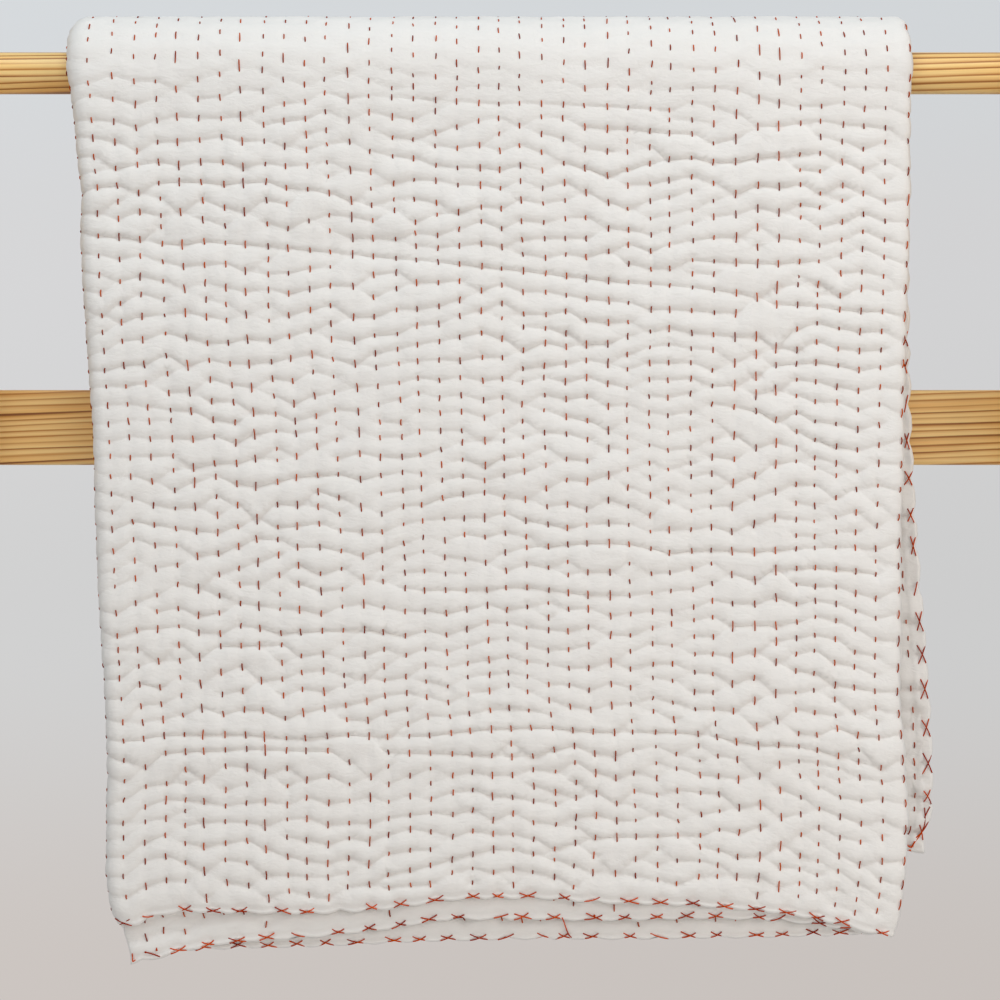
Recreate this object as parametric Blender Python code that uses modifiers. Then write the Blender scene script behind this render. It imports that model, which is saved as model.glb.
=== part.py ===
"""A hand-quilted kantha quilt, folded in three lengthwise and hung over the rail of a pine rack.

Metres, +Z up, the viewer at -Y. The origin is the middle of the rack board's back face.
"""
import math
from collections import namedtuple

import bmesh
import bpy
from mathutils import Vector, geometry

# The pine rack: a round rail and a flat board between two end cheeks.
RAIL_DIAMETER = 0.038
RAIL_ABOVE_BOARD = 0.323
RAIL_SIDES = 40
BOARD_HEIGHT = 0.070
BOARD_THICKNESS = 0.020
CHEEK_THICKNESS = 0.022
CHEEK_BELOW_BOARD = 0.015
CHEEK_PAST_RAIL = 0.016
INSIDE_WIDTH = 0.950
EDGE_ROUND = 0.003
SHARP_ANGLE = math.radians(40)
PIECE_GAP = 0.0003

# The quilt: three layers of one padded cloth.
CLOTH_THICKNESS = 0.0065
LAYER_PITCH = 0.0105
RAIL_CLEARANCE = 0.0008
BOARD_CLEARANCE = 0.009
HUNG_LENGTH = 1.570
FLAP_INSET = 0.010
TUCKED_HEM = 0.350

# How finely the cloth is divided.
INNER_COLUMNS = 8
OUTER_COLUMNS = 28
FLAP_COLUMNS = 8
WIDE_TURN_STEPS = 6
TIGHT_TURN_STEPS = 4
FRONT_ROWS = 30
RAIL_ROWS = 10
BACK_ROWS = 14

RAIL_RADIUS = RAIL_DIAMETER / 2
INNER_DEPTH = RAIL_CLEARANCE + CLOTH_THICKNESS / 2
FLAP_DEPTH = INNER_DEPTH + LAYER_PITCH
OUTER_DEPTH = FLAP_DEPTH + LAYER_PITCH
STACK_DEPTH = OUTER_DEPTH + CLOTH_THICKNESS / 2
RAIL_Y = -(BOARD_THICKNESS + BOARD_CLEARANCE + STACK_DEPTH + RAIL_RADIUS)

# Side edges of the front drop, by the distance below the rail's axis.
FrontEdge = namedtuple("FrontEdge", "drop left right")
FRONT_EDGES = (
    FrontEdge(drop=0.000, left=-0.388, right=0.364),
    FrontEdge(drop=0.058, left=-0.382, right=0.365),
    FrontEdge(drop=0.112, left=-0.375, right=0.367),
    FrontEdge(drop=0.238, left=-0.374, right=0.365),
    FrontEdge(drop=0.328, left=-0.369, right=0.362),
    FrontEdge(drop=0.481, left=-0.363, right=0.360),
    FrontEdge(drop=0.571, left=-0.357, right=0.359),
    FrontEdge(drop=0.640, left=-0.355, right=0.365),
    FrontEdge(drop=0.715, left=-0.356, right=0.364),
    FrontEdge(drop=0.762, left=-0.351, right=0.358),
    FrontEdge(drop=0.783, left=-0.341, right=0.354),
)

# Side edges of the back drop; side_hem is the inner layer's hemmed edge, which runs past the fold.
BackEdge = namedtuple("BackEdge", "drop left right side_hem")
BACK_EDGES = (
    BackEdge(drop=0.000, left=-0.391, right=0.362, side_hem=0.368),
    BackEdge(drop=0.077, left=-0.386, right=0.363, side_hem=0.381),
    BackEdge(drop=0.170, left=-0.372, right=0.364, side_hem=0.379),
    BackEdge(drop=0.318, left=-0.368, right=0.362, side_hem=0.381),
    BackEdge(drop=0.442, left=-0.364, right=0.361, side_hem=0.387),
    BackEdge(drop=0.534, left=-0.360, right=0.360, side_hem=0.395),
    BackEdge(drop=0.659, left=-0.356, right=0.360, side_hem=0.402),
    BackEdge(drop=0.716, left=-0.352, right=0.358, side_hem=0.393),
)

# Front hems of the three layers, below the rail's axis, across the width.
FrontHem = namedtuple("FrontHem", "x outer flap inner")
FRONT_HEMS = (
    FrontHem(x=-0.341, outer=0.774, flap=0.809, inner=0.799),
    FrontHem(x=-0.304, outer=0.763, flap=0.800, inner=0.798),
    FrontHem(x=-0.245, outer=0.762, flap=0.790, inner=0.796),
    FrontHem(x=-0.104, outer=0.759, flap=0.778, inner=0.791),
    FrontHem(x=-0.040, outer=0.750, flap=0.769, inner=0.789),
    FrontHem(x=0.024, outer=0.749, flap=0.769, inner=0.788),
    FrontHem(x=0.180, outer=0.756, flap=0.768, inner=0.787),
    FrontHem(x=0.261, outer=0.764, flap=0.771, inner=0.786),
    FrontHem(x=0.315, outer=0.774, flap=0.778, inner=0.784),
    FrontHem(x=0.351, outer=0.783, flap=0.784, inner=0.782),
)

# Long creases and ridges of the hanging cloth, each a straight run; height is outwards.
Crease = namedtuple("Crease", "x_start drop_start x_end drop_end width height")
CREASES = (
    Crease(x_start=-0.38, drop_start=0.155, x_end=-0.12, drop_end=0.166, width=0.022, height=-0.0016),
    Crease(x_start=-0.12, drop_start=0.166, x_end=0.15, drop_end=0.195, width=0.022, height=-0.0014),
    Crease(x_start=-0.11, drop_start=0.395, x_end=0.00, drop_end=0.352, width=0.024, height=0.0018),
    Crease(x_start=0.00, drop_start=0.352, x_end=0.13, drop_end=0.373, width=0.024, height=0.0018),
    Crease(x_start=-0.36, drop_start=0.612, x_end=0.36, drop_end=0.612, width=0.026, height=0.0020),
    Crease(x_start=0.17, drop_start=0.616, x_end=0.34, drop_end=0.774, width=0.022, height=-0.0014),
    Crease(x_start=-0.06, drop_start=0.560, x_end=0.06, drop_end=0.737, width=0.022, height=0.0012),
)
SWELL_HEIGHT = 0.0012
SWELL_LENGTH = 0.210
SWELL_SLANT = 0.4
CREASE_FADE = 0.060

# One column of the folded cross-section: across, depth off the rail, and the two layers it joins.
Column = namedtuple("Column", "x depth layer next_layer share")
# One row of the drape: side, turn round the rail in radians, share of the drop.
Row = namedtuple("Row", "side turn share")


def interpolate(table, key, column, at):
    """Read a column of a table at a value between its rows."""
    previous = table[0]
    if at <= getattr(previous, key):
        return getattr(previous, column)
    for row in table[1:]:
        if at <= getattr(row, key):
            span = getattr(row, key) - getattr(previous, key)
            share = (at - getattr(previous, key)) / span
            return getattr(previous, column) * (1 - share) + getattr(row, column) * share
        previous = row
    return getattr(previous, column)


def arc_length(layer):
    """The length of a layer over the rail, from level with its axis to level with it again."""
    depths = {"inner": INNER_DEPTH, "flap": FLAP_DEPTH, "outer": OUTER_DEPTH}
    return math.pi * (RAIL_RADIUS + depths[layer])


def hem_drop(side, layer, x):
    """How far below the rail's axis a layer ends; the back takes what the front leaves."""
    front = interpolate(FRONT_HEMS, "x", layer, x)
    if side == "front":
        return front
    return HUNG_LENGTH - front - arc_length(layer)


def edges_at(row, drop):
    """The left fold, the right fold and the inner layer's side hem at a row."""
    if row.side == "front":
        left = interpolate(FRONT_EDGES, "drop", "left", drop)
        right = interpolate(FRONT_EDGES, "drop", "right", drop)
        return left, right, TUCKED_HEM
    if row.side == "back":
        return tuple(interpolate(BACK_EDGES, "drop", name, drop) for name in ("left", "right", "side_hem"))
    turned = row.turn / math.pi
    top_front = (FRONT_EDGES[0].left, FRONT_EDGES[0].right, TUCKED_HEM)
    top_back = (BACK_EDGES[0].left, BACK_EDGES[0].right, BACK_EDGES[0].side_hem)
    return tuple(a * (1 - turned) + b * turned for a, b in zip(top_front, top_back))


def flat_run(start, end, steps, depth, layer):
    """Columns of one layer from one side to the other."""
    return [
        Column(start + (end - start) * i / steps, depth, layer, layer, 0.0)
        for i in range(steps + 1)
    ]


def turn_run(edge, way, radius, middle, layers, steps):
    """Columns of a fold that turns from one layer to the next, bulging towards way."""
    columns = []
    for i in range(1, steps):
        angle = math.pi * i / steps
        depth = middle - radius * math.cos(angle) * (1 if layers[0] == "inner" else -1)
        across = edge - way * radius + way * radius * math.sin(angle)
        columns.append(Column(across, depth, layers[0], layers[1], i / steps))
    return columns


def folded_section(left, right, side_hem):
    """Columns of the cloth folded in three, from its inner side hem to the flap's side hem."""
    left += CLOTH_THICKNESS / 2
    right -= CLOTH_THICKNESS / 2
    wide = LAYER_PITCH
    tight = LAYER_PITCH / 2
    columns = flat_run(side_hem, left + wide, INNER_COLUMNS, INNER_DEPTH, "inner")
    columns += turn_run(left, -1, wide, FLAP_DEPTH, ("inner", "outer"), WIDE_TURN_STEPS)
    columns += flat_run(left + wide, right - tight, OUTER_COLUMNS, OUTER_DEPTH, "outer")
    columns += turn_run(right, 1, tight, OUTER_DEPTH - tight, ("outer", "flap"), TIGHT_TURN_STEPS)
    columns += flat_run(right - tight, left + FLAP_INSET, FLAP_COLUMNS, FLAP_DEPTH, "flap")
    return columns


def drape_rows():
    """Rows from the front hems, up over the rail and down to the back hems."""
    rows = [Row("front", 0.0, 1 - i / FRONT_ROWS) for i in range(FRONT_ROWS)]
    rows += [Row("rail", math.pi * i / RAIL_ROWS, 0.0) for i in range(RAIL_ROWS + 1)]
    rows += [Row("back", math.pi, (i + 1) / BACK_ROWS) for i in range(BACK_ROWS)]
    return rows


def column_drop(row, column):
    """How far below the rail's axis this column lies at this row."""
    if row.side == "rail":
        return 0.0
    near = hem_drop(row.side, column.layer, column.x)
    far = hem_drop(row.side, column.next_layer, column.x)
    return row.share * (near * (1 - column.share) + far * column.share)


def relief(x, drop):
    """Height of the creases and slow swells of a hanging drop, outwards."""
    fade = min(1.0, max(0.0, drop / CREASE_FADE))
    height = SWELL_HEIGHT * math.sin(2 * math.pi * (x + SWELL_SLANT * drop) / SWELL_LENGTH)
    for crease in CREASES:
        start = Vector((crease.x_start, crease.drop_start))
        end = Vector((crease.x_end, crease.drop_end))
        nearest, along = geometry.intersect_point_line(Vector((x, drop)), start, end)
        if along < 0.0:
            nearest = start.to_3d()
        elif along > 1.0:
            nearest = end.to_3d()
        distance = (Vector((x, drop, 0.0)) - nearest.to_3d()).length
        height += crease.height * math.exp(-(distance / crease.width) ** 2)
    return height * fade


def place(row, column, drop):
    """The world point of one column at one row."""
    depth = RAIL_RADIUS + column.depth
    if row.side == "rail":
        across_rail = -depth * math.cos(row.turn)
        return Vector((column.x, RAIL_Y + across_rail, RAIL_ABOVE_BOARD + depth * math.sin(row.turn)))
    depth += relief(column.x, drop)
    way = -1 if row.side == "front" else 1
    return Vector((column.x, RAIL_Y + way * depth, RAIL_ABOVE_BOARD - drop))


def section_at(row):
    """The folded section at a row, its edges read where the outer layer's middle lies."""
    middle = 0.0 if row.side == "rail" else row.share * hem_drop(row.side, "outer", 0.0)
    rough = folded_section(*edges_at(row, middle))
    section = []
    for index, column in enumerate(rough):
        own_drop = column_drop(row, column)
        own = folded_section(*edges_at(row, own_drop))[index]
        section.append(own)
    return section


def material(name, colour, roughness):
    """A plain Principled material."""
    made = bpy.data.materials.new(name)
    made.use_nodes = True
    shader = made.node_tree.nodes["Principled BSDF"]
    shader.inputs["Base Color"].default_value = (*colour, 1.0)
    shader.inputs["Roughness"].default_value = roughness
    shader.inputs["Metallic"].default_value = 0.0
    return made


def link(obj, collection, finish):
    """Give an object its material and put it in the collection."""
    for owner in list(obj.users_collection):
        owner.objects.unlink(obj)
    collection.objects.link(obj)
    obj.data.materials.append(finish)


def make_quilt(collection, finish):
    """The quilt: its folded middle surface, given the cloth's thickness."""
    mesh = bpy.data.meshes.new("quilt")
    shape = bmesh.new()
    grid = []
    for row in drape_rows():
        points = [place(row, column, column_drop(row, column)) for column in section_at(row)]
        grid.append([shape.verts.new(point) for point in points])
    for lower, upper in zip(grid, grid[1:]):
        for i in range(len(lower) - 1):
            shape.faces.new((lower[i], upper[i], upper[i + 1], lower[i + 1]))
    bmesh.ops.recalc_face_normals(shape, faces=shape.faces)
    shape.to_mesh(mesh)
    shape.free()
    mesh.shade_smooth()
    quilt = bpy.data.objects.new("quilt", mesh)
    link(quilt, collection, finish)
    thickness = quilt.modifiers.new("cloth_thickness", "SOLIDIFY")
    thickness.thickness = CLOTH_THICKNESS
    thickness.offset = 0.0
    thickness.use_even_offset = True


def make_rail(collection, finish):
    """The round rail between the cheeks."""
    bpy.ops.mesh.primitive_cylinder_add(
        vertices=RAIL_SIDES,
        radius=RAIL_RADIUS,
        depth=INSIDE_WIDTH - 2 * PIECE_GAP,
        location=(0.0, RAIL_Y, RAIL_ABOVE_BOARD),
        rotation=(0.0, math.pi / 2, 0.0),
    )
    rail = bpy.context.active_object
    rail.name = "top_rail"
    rail.data.shade_smooth()
    rail.data.set_sharp_from_angle(angle=SHARP_ANGLE)
    link(rail, collection, finish)


def make_plank(name, size, centre, collection, finish):
    """A straight plank with lightly rounded edges."""
    bpy.ops.mesh.primitive_cube_add(size=1.0, location=centre)
    plank = bpy.context.active_object
    plank.name = name
    plank.scale = size
    bpy.ops.object.transform_apply(location=False, rotation=False, scale=True)
    rounding = plank.modifiers.new("eased_edges", "BEVEL")
    rounding.width = EDGE_ROUND
    rounding.segments = 2
    link(plank, collection, finish)


def make_rack(collection, finish):
    """The rail, the board and the two cheeks that hold them."""
    make_rail(collection, finish)
    board_size = (INSIDE_WIDTH - 2 * PIECE_GAP, BOARD_THICKNESS, BOARD_HEIGHT)
    make_plank("lower_board", board_size, (0.0, -BOARD_THICKNESS / 2, 0.0), collection, finish)
    cheek_front = RAIL_Y - RAIL_RADIUS - CHEEK_PAST_RAIL
    cheek_top = RAIL_ABOVE_BOARD + RAIL_RADIUS + CHEEK_PAST_RAIL
    cheek_bottom = -BOARD_HEIGHT / 2 - CHEEK_BELOW_BOARD
    size = (CHEEK_THICKNESS, -cheek_front, cheek_top - cheek_bottom)
    for name, way in (("left_cheek", -1), ("right_cheek", 1)):
        across = way * (INSIDE_WIDTH + CHEEK_THICKNESS) / 2
        centre = (across, cheek_front / 2, (cheek_top + cheek_bottom) / 2)
        make_plank(name, size, centre, collection, finish)


def main():
    """Clear the scene and build the quilt on its rack."""
    for obj in list(bpy.data.objects):
        bpy.data.objects.remove(obj)
    collection = bpy.data.collections.new("kantha_quilt_on_rack")
    bpy.context.scene.collection.children.link(collection)
    cotton = material("quilted_cotton", (0.80, 0.78, 0.75), 0.9)
    pine = material("pine", (0.70, 0.42, 0.17), 0.5)
    make_quilt(collection, cotton)
    make_rack(collection, pine)


main()
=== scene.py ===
"""Kantha quilt on a pine rack: puffed cotton, hand stitching and wood finishes.

The quilt is one padded cloth, folded lengthwise in three and hung over a round rail.
Metres, +Z up, the viewer at -Y.
"""
import logging
import math
from dataclasses import dataclass, field
from enum import Enum, IntEnum
from typing import Callable, NamedTuple, Sequence

import bmesh
import bpy
import numpy as np
from mathutils import Matrix, Vector
from mathutils.bvhtree import BVHTree


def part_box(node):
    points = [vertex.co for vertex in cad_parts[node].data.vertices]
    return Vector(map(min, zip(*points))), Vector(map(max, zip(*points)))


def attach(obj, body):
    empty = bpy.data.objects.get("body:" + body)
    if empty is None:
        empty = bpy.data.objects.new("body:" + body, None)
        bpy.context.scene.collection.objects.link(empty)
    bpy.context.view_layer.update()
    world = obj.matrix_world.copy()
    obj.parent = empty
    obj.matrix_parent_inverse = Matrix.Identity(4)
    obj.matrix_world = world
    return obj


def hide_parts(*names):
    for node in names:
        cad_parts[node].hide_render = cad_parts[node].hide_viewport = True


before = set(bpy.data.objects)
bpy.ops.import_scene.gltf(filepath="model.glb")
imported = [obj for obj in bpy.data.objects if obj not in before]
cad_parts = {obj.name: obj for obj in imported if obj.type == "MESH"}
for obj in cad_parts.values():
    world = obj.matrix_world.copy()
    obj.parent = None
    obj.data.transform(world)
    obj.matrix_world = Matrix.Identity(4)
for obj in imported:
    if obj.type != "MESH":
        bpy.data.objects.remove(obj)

LOG = logging.getLogger("kantha_quilt")
BODY = "root"
MILLIMETRE = 0.001
SEEN_FRONT = -0.124
STUDIO_EYE = Vector((0.0, -2.724, -0.068))
LATTICE = 256
Array = np.ndarray
Arrays = tuple[Array, ...]
Faces = list[tuple[int, ...]]
Colour = tuple[float, float, float]
Place = tuple[float, float]
Triple = tuple[float, float, float]
Stop = tuple[float, Colour]
Input = bpy.types.Node | bpy.types.NodeSocket | float | tuple[float, ...] | str
Inputs = dict[str | int, Input]


class FoldPart(IntEnum):
    """Stretches of the folded cloth, from the inner layer's side hem to the flap's."""

    INNER = 0
    WIDE_TURN = 1
    OUTER = 2
    TIGHT_TURN = 3
    FLAP = 4


class ClothSide(Enum):
    """The two sides of the cloth: the face shows on the outer layer."""

    FACE = 1
    REVERSE = -1


class RowSet(Enum):
    """Which of the cloth's rows a column of its mesh uses."""

    ALL = "all"
    COARSE = "coarse"
    HEMS = "hems"
    STRIP = "strip"


class Grain(Enum):
    """Which way the grain runs in a piece of pine."""

    ALONG_RAIL = "x"
    UPRIGHT = "z"


class Outline(NamedTuple):
    """Some edges of the cloth: a row holds a place, then where each edge is there."""

    names: tuple[str, ...]
    rows: tuple[tuple[float, ...], ...]


class Crease(NamedTuple):
    """A straight stretch of a crease; height is outwards, so a trough's is negative."""

    x_start: float
    drop_start: float
    x_end: float
    drop_end: float
    width: float
    height: float


class CreaseLine(NamedTuple):
    """A long crease of the outer layer's front: (x, drop) points in millimetres."""

    pull: float
    spread: float
    points: tuple[Place, ...]


def table(kind: Callable[..., NamedTuple], *rows: tuple) -> tuple[NamedTuple, ...]:
    """Make a table whose rows are all of one kind."""
    return tuple(kind(*row) for row in rows)


OUTLINES = (
    Outline(("front_left", "front_right"), (
        (0.0, -0.387, 0.3725), (0.02, -0.3863, 0.3715), (0.05, -0.385, 0.3705),
        (0.085, -0.3833, 0.37), (0.115, -0.3818, 0.37), (0.157, -0.3798, 0.3695),
        (0.238, -0.3765, 0.3665), (0.283, -0.3735, 0.365), (0.328, -0.37, 0.364),
        (0.409, -0.367, 0.3635), (0.481, -0.364, 0.364), (0.571, -0.359, 0.3625),
        (0.6, -0.357, 0.365), (0.64, -0.356, 0.367), (0.67, -0.357, 0.3685),
        (0.715, -0.357, 0.367), (0.741, -0.3555, 0.365), (0.762, -0.3515, 0.362),
        (0.783, -0.3425, 0.357), (0.808, -0.3365, 0.354),
    )),
    Outline(("back_left", "back_right", "back_side_hem"), (
        (0.0, -0.387, 0.37, 0.364), (0.04, -0.386, 0.367, 0.366), (0.077, -0.382, 0.365, 0.374),
        (0.12, -0.375, 0.364, 0.375), (0.17, -0.372, 0.364, 0.3755),
        (0.318, -0.368, 0.362, 0.3775), (0.442, -0.364, 0.361, 0.3835),
        (0.534, -0.36, 0.36, 0.392), (0.619, -0.358, 0.36, 0.3975),
        (0.67, -0.356, 0.36, 0.3985), (0.716, -0.352, 0.358, 0.3895),
    )),
    Outline(("flare",), (
        (0.0, 0.009), (0.02, 0.005), (0.05, 0.0018), (0.085, -0.001), (0.115, -0.0046),
        (0.14, -0.001), (0.19, 0.001), (0.26, 0.0),
    )),
    Outline(("outer", "flap", "inner"), (
        (-0.341, 0.774, 0.809, 0.799), (-0.304, 0.763, 0.8, 0.798), (-0.245, 0.762, 0.79, 0.796),
        (-0.18, 0.763, 0.786, 0.795), (-0.104, 0.759, 0.778, 0.791), (-0.04, 0.75, 0.769, 0.789),
        (0.024, 0.749, 0.769, 0.788), (0.09, 0.753, 0.77, 0.788), (0.18, 0.756, 0.768, 0.787),
        (0.261, 0.764, 0.771, 0.786), (0.315, 0.774, 0.778, 0.784), (0.351, 0.783, 0.784, 0.782),
    )),
)
STACK_CREASES = table(
    Crease, (-0.38, 0.155, -0.12, 0.166, 0.022, -0.0016), (-0.12, 0.166, 0.15, 0.195, 0.022, -0.0014),
    (-0.11, 0.395, 0.0, 0.352, 0.024, 0.0018), (0.0, 0.352, 0.13, 0.373, 0.024, 0.0018),
    (-0.36, 0.612, 0.36, 0.612, 0.026, 0.002), (0.17, 0.616, 0.34, 0.774, 0.022, -0.0014),
    (-0.06, 0.56, 0.06, 0.737, 0.022, 0.0012),
)
CREASE_LINES = table(
    CreaseLine,
    (0.95, 0.45, ((-374, 153), (-330, 155), (-305, 160), (-286, 161), (-275, 158), (-270, 150))),
    (0.85, 0.45, ((-268, 158), (-216, 162), (-157, 167), (-108, 172), (-35, 179), (39, 187), (112, 195))),
    (0.85, 0.55, ((112, 195), (168, 199), (227, 207), (246, 215), (280, 216), (315, 221), (360, 221))),
    (0.85, 0.7, ((-354, 94), (-332, 90), (-293, 85))),
    (0.9, 0.6, ((-371, 110), (-314, 106), (-277, 104), (-238, 108), (-218, 102), (-194, 110),
     (-161, 112))),
    (0.9, 0.6, ((-161, 112), (-143, 119), (-90, 131), (-79, 133))),
    (0.8, 0.8, ((-220, 119), (-194, 125), (-167, 123))),
    (0.9, 0.45, ((-222, 55), (-185, 49), (-170, 48))),
    (0.8, 0.5, ((-108, 28), (-5, 35), (26, 34), (94, 37), (166, 41))),
    (0.9, 0.55, ((-53, 119), (-27, 141), (-5, 140))),
    (1.0, 0.45, ((-77, 61), (-40, 60))),
    (0.85, 0.8, ((6, 59), (39, 46), (61, 48))),
    (1.0, 0.5, ((61, 82), (90, 101), (127, 90), (168, 81), (187, 87), (206, 88), (225, 84), (280, 79))),
    (0.95, 0.45, ((107, 56), (153, 61), (185, 62))),
    (0.9, 0.6, ((249, 55), (287, 50), (306, 53), (360, 57))),
    (0.95, 0.55, ((266, 197), (287, 197), (306, 207))),
    (0.9, 0.6, ((173, 175), (206, 177), (244, 179), (266, 177), (287, 173))),
    (0.9, 0.6, ((227, 106), (237, 110), (247, 116))),
    (0.95, 0.6, ((227, 242), (247, 254), (268, 256))),
    (0.95, 0.5, ((246, 270), (289, 267), (325, 275))),
    (1.0, 0.5, ((211, 315), (229, 311), (247, 319), (268, 312))),
    (1.0, 0.45, ((191, 335), (229, 331), (247, 336))),
    (1.05, 0.45, ((275, 337), (292, 337), (311, 348))),
    (1.0, 0.45, ((-108, 354), (-73, 351), (-57, 347))),
    (1.05, 0.45, ((-38, 372), (-20, 363), (0, 352), (9, 355), (21, 365), (39, 374))),
    (1.0, 0.45, ((-75, 397), (-55, 390), (-36, 387), (-18, 381))),
    (0.85, 0.6, ((19, 409), (57, 416), (74, 416))),
    (1.0, 0.45, ((6, 425), (21, 434), (44, 433), (74, 430), (112, 430), (132, 434), (153, 439),
     (187, 436))),
    (0.95, 0.5, ((187, 436), (227, 438), (287, 434), (340, 435))),
    (0.95, 0.6, ((-108, 464), (-77, 473), (-22, 473), (17, 469), (72, 476), (127, 477))),
    (1.0, 0.4, ((-171, 369), (-141, 368), (-127, 369))),
    (1.0, 0.5, ((-364, 417), (-355, 419), (-335, 411), (-324, 410), (-310, 414))),
    (0.9, 0.6, ((-285, 366), (-273, 360), (-255, 358))),
    (0.85, 0.6, ((-236, 405), (-216, 409), (-198, 416), (-159, 412))),
    (1.05, 0.4, ((-351, 550), (-333, 555), (-317, 559), (-294, 561))),
    (0.95, 0.55, ((-346, 514), (-331, 509), (-294, 508), (-273, 495), (-255, 492), (-238, 498))),
    (0.95, 0.45, ((-257, 523), (-184, 521))),
    (1.0, 0.45, ((-198, 511), (-165, 509), (-115, 507), (-97, 512), (-79, 514))),
    (1.0, 0.45, ((-360, 606), (-335, 610), (-294, 603), (-262, 602), (-230, 602), (-182, 606),
     (-148, 602))),
    (1.05, 0.45, ((-148, 602), (-108, 604), (-58, 603), (-5, 597), (39, 596), (94, 600), (148, 600))),
    (1.05, 0.45, ((148, 600), (185, 602), (211, 608), (235, 612), (259, 611), (299, 619), (321, 626),
     (355, 634))),
    (1.0, 0.5, ((-353, 626), (-299, 619), (-225, 615), (-125, 616), (-80, 619), (-36, 620), (2, 621))),
    (1.0, 0.5, ((2, 621), (19, 623), (37, 620), (55, 613), (76, 612))),
    (1.0, 0.45, ((246, 454), (287, 452), (340, 458))),
    (0.9, 0.6, ((199, 505), (263, 504))),
    (0.9, 0.6, ((259, 545), (280, 545), (299, 557), (338, 564))),
    (0.9, 0.5, ((287, 590), (299, 594), (315, 602), (355, 605))),
    (0.9, 0.6, ((-108, 730), (-58, 719), (-4, 705))),
    (0.9, 0.55, ((28, 710), (54, 704), (86, 695), (180, 693))),
)
FINE_RIDGES = table(
    Crease, (0.173, 0.616, 0.342, 0.772, 0.0024, 0.0012), (-0.079, 0.551, -0.057, 0.552, 0.0026, 0.0012),
    (-0.057, 0.552, -0.029, 0.567, 0.0026, 0.0014), (-0.029, 0.567, 0.017, 0.577, 0.0026, 0.0012),
    (-0.027, 0.57, -0.007, 0.596, 0.0026, 0.001), (-0.042, 0.655, 0.0, 0.686, 0.0024, 0.0011),
    (0.0, 0.686, 0.042, 0.726, 0.0024, 0.0009), (0.13, 0.634, 0.173, 0.659, 0.0026, 0.001),
    (-0.297, 0.031, -0.297, 0.062, 0.006, -0.0009), (-0.297, 0.062, -0.29, 0.16, 0.006, -0.0009),
    (-0.257, 0.038, -0.238, 0.077, 0.005, 0.001), (-0.238, 0.077, -0.218, 0.095, 0.005, 0.001),
    (0.29, 0.057, 0.36, 0.059, 0.0034, -0.0008), (0.29, 0.073, 0.36, 0.074, 0.0034, -0.0008),
)


class SmoothTable:
    """A column of a table, read smoothly between its rows."""

    def __init__(self, keys: Sequence[float], values: Sequence[float]) -> None:
        """Keep the rows and work out a slope for each.

        Args:
            keys: Rising places of the rows.
            values: The column's value at each place.
        """
        self.keys = np.asarray(keys, dtype=float)
        self.values = np.asarray(values, dtype=float)
        steps = np.diff(self.values) / np.diff(self.keys)
        self.slopes = np.zeros_like(self.values)
        turning = steps[:-1] * steps[1:] <= 0
        self.slopes[1:-1] = np.where(turning, 0.0, (steps[:-1] + steps[1:]) / 2)

    def __call__(self, at: Array) -> Array:
        """Read the column.

        Args:
            at: Places to read, held to the table's ends.

        Returns:
            The value at each place.
        """
        at = np.clip(at, self.keys[0], self.keys[-1])
        row = stretch_of(self.keys, at, "left")
        span = self.keys[row + 1] - self.keys[row]
        t = (at - self.keys[row]) / span
        rise = self.values[row + 1] - self.values[row]
        bend_in = self.slopes[row] * span
        bend_out = self.slopes[row + 1] * span
        curve = rise * t * t * (3 - 2 * t)
        curve += bend_in * t * (1 - t) ** 2 - bend_out * t * t * (1 - t)
        return self.values[row] + curve


class LatticeNoise:
    """Smooth noise from -1 to 1 over a flat cloth, from a seeded lattice."""

    def __init__(self, seed: int, cell_u: float, cell_v: float) -> None:
        """Draw a lattice with cells of one width across and length along the cloth."""
        self.cells = (cell_u, cell_v)
        self.values = np.random.default_rng(seed).uniform(-1.0, 1.0, (LATTICE, LATTICE))

    def __call__(self, u: Array, v: Array) -> Array:
        """Read the noise.

        Args:
            u: Places across the cloth.
            v: Places along the cloth.

        Returns:
            The noise at each place.
        """
        a, b = np.broadcast_arrays(np.asarray(u) / self.cells[0], np.asarray(v) / self.cells[1])
        a0, b0 = np.floor(a).astype(int), np.floor(b).astype(int)
        s, t = ease(a - a0), ease(b - b0)
        low, high = a0 % LATTICE, (a0 + 1) % LATTICE
        rows = (b0 % LATTICE, (b0 + 1) % LATTICE)
        near, far = (self.values[low, row] * (1 - s) + self.values[high, row] * s for row in rows)
        return near * (1 - t) + far * t


def stretch_of(marks: Array, at: Array, side: str = "right") -> Array:
    """Tell which stretch between two marks each place is in."""
    return np.clip(np.searchsorted(marks, at, side=side) - 1, 0, len(marks) - 2)


def ease(t: Array) -> Array:
    """Ease a share from 0 to 1 in and out."""
    t = np.clip(t, 0.0, 1.0)
    return t * t * (3 - 2 * t)


def crease_relief(creases: Sequence[Crease], x: Array, drop: Array, power: float) -> Array:
    """Add up the heights of straight creases at places on a drop.

    Args:
        creases: The creases.
        x: Places across the drop.
        drop: Places below the rail's axis.
        power: How square a crease's cross-section is; 2 is a round swell.

    Returns:
        The height at each place, outwards.
    """
    height = np.zeros_like(x)
    for crease in creases:
        along_x = crease.x_end - crease.x_start
        along_drop = crease.drop_end - crease.drop_start
        length_squared = along_x**2 + along_drop**2
        t = ((x - crease.x_start) * along_x + (drop - crease.drop_start) * along_drop) / length_squared
        t = np.clip(t, 0.0, 1.0)
        gap = np.hypot(x - crease.x_start - t * along_x, drop - crease.drop_start - t * along_drop)
        height += crease.height * np.exp(-((gap / crease.width) ** power))
    return height


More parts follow.
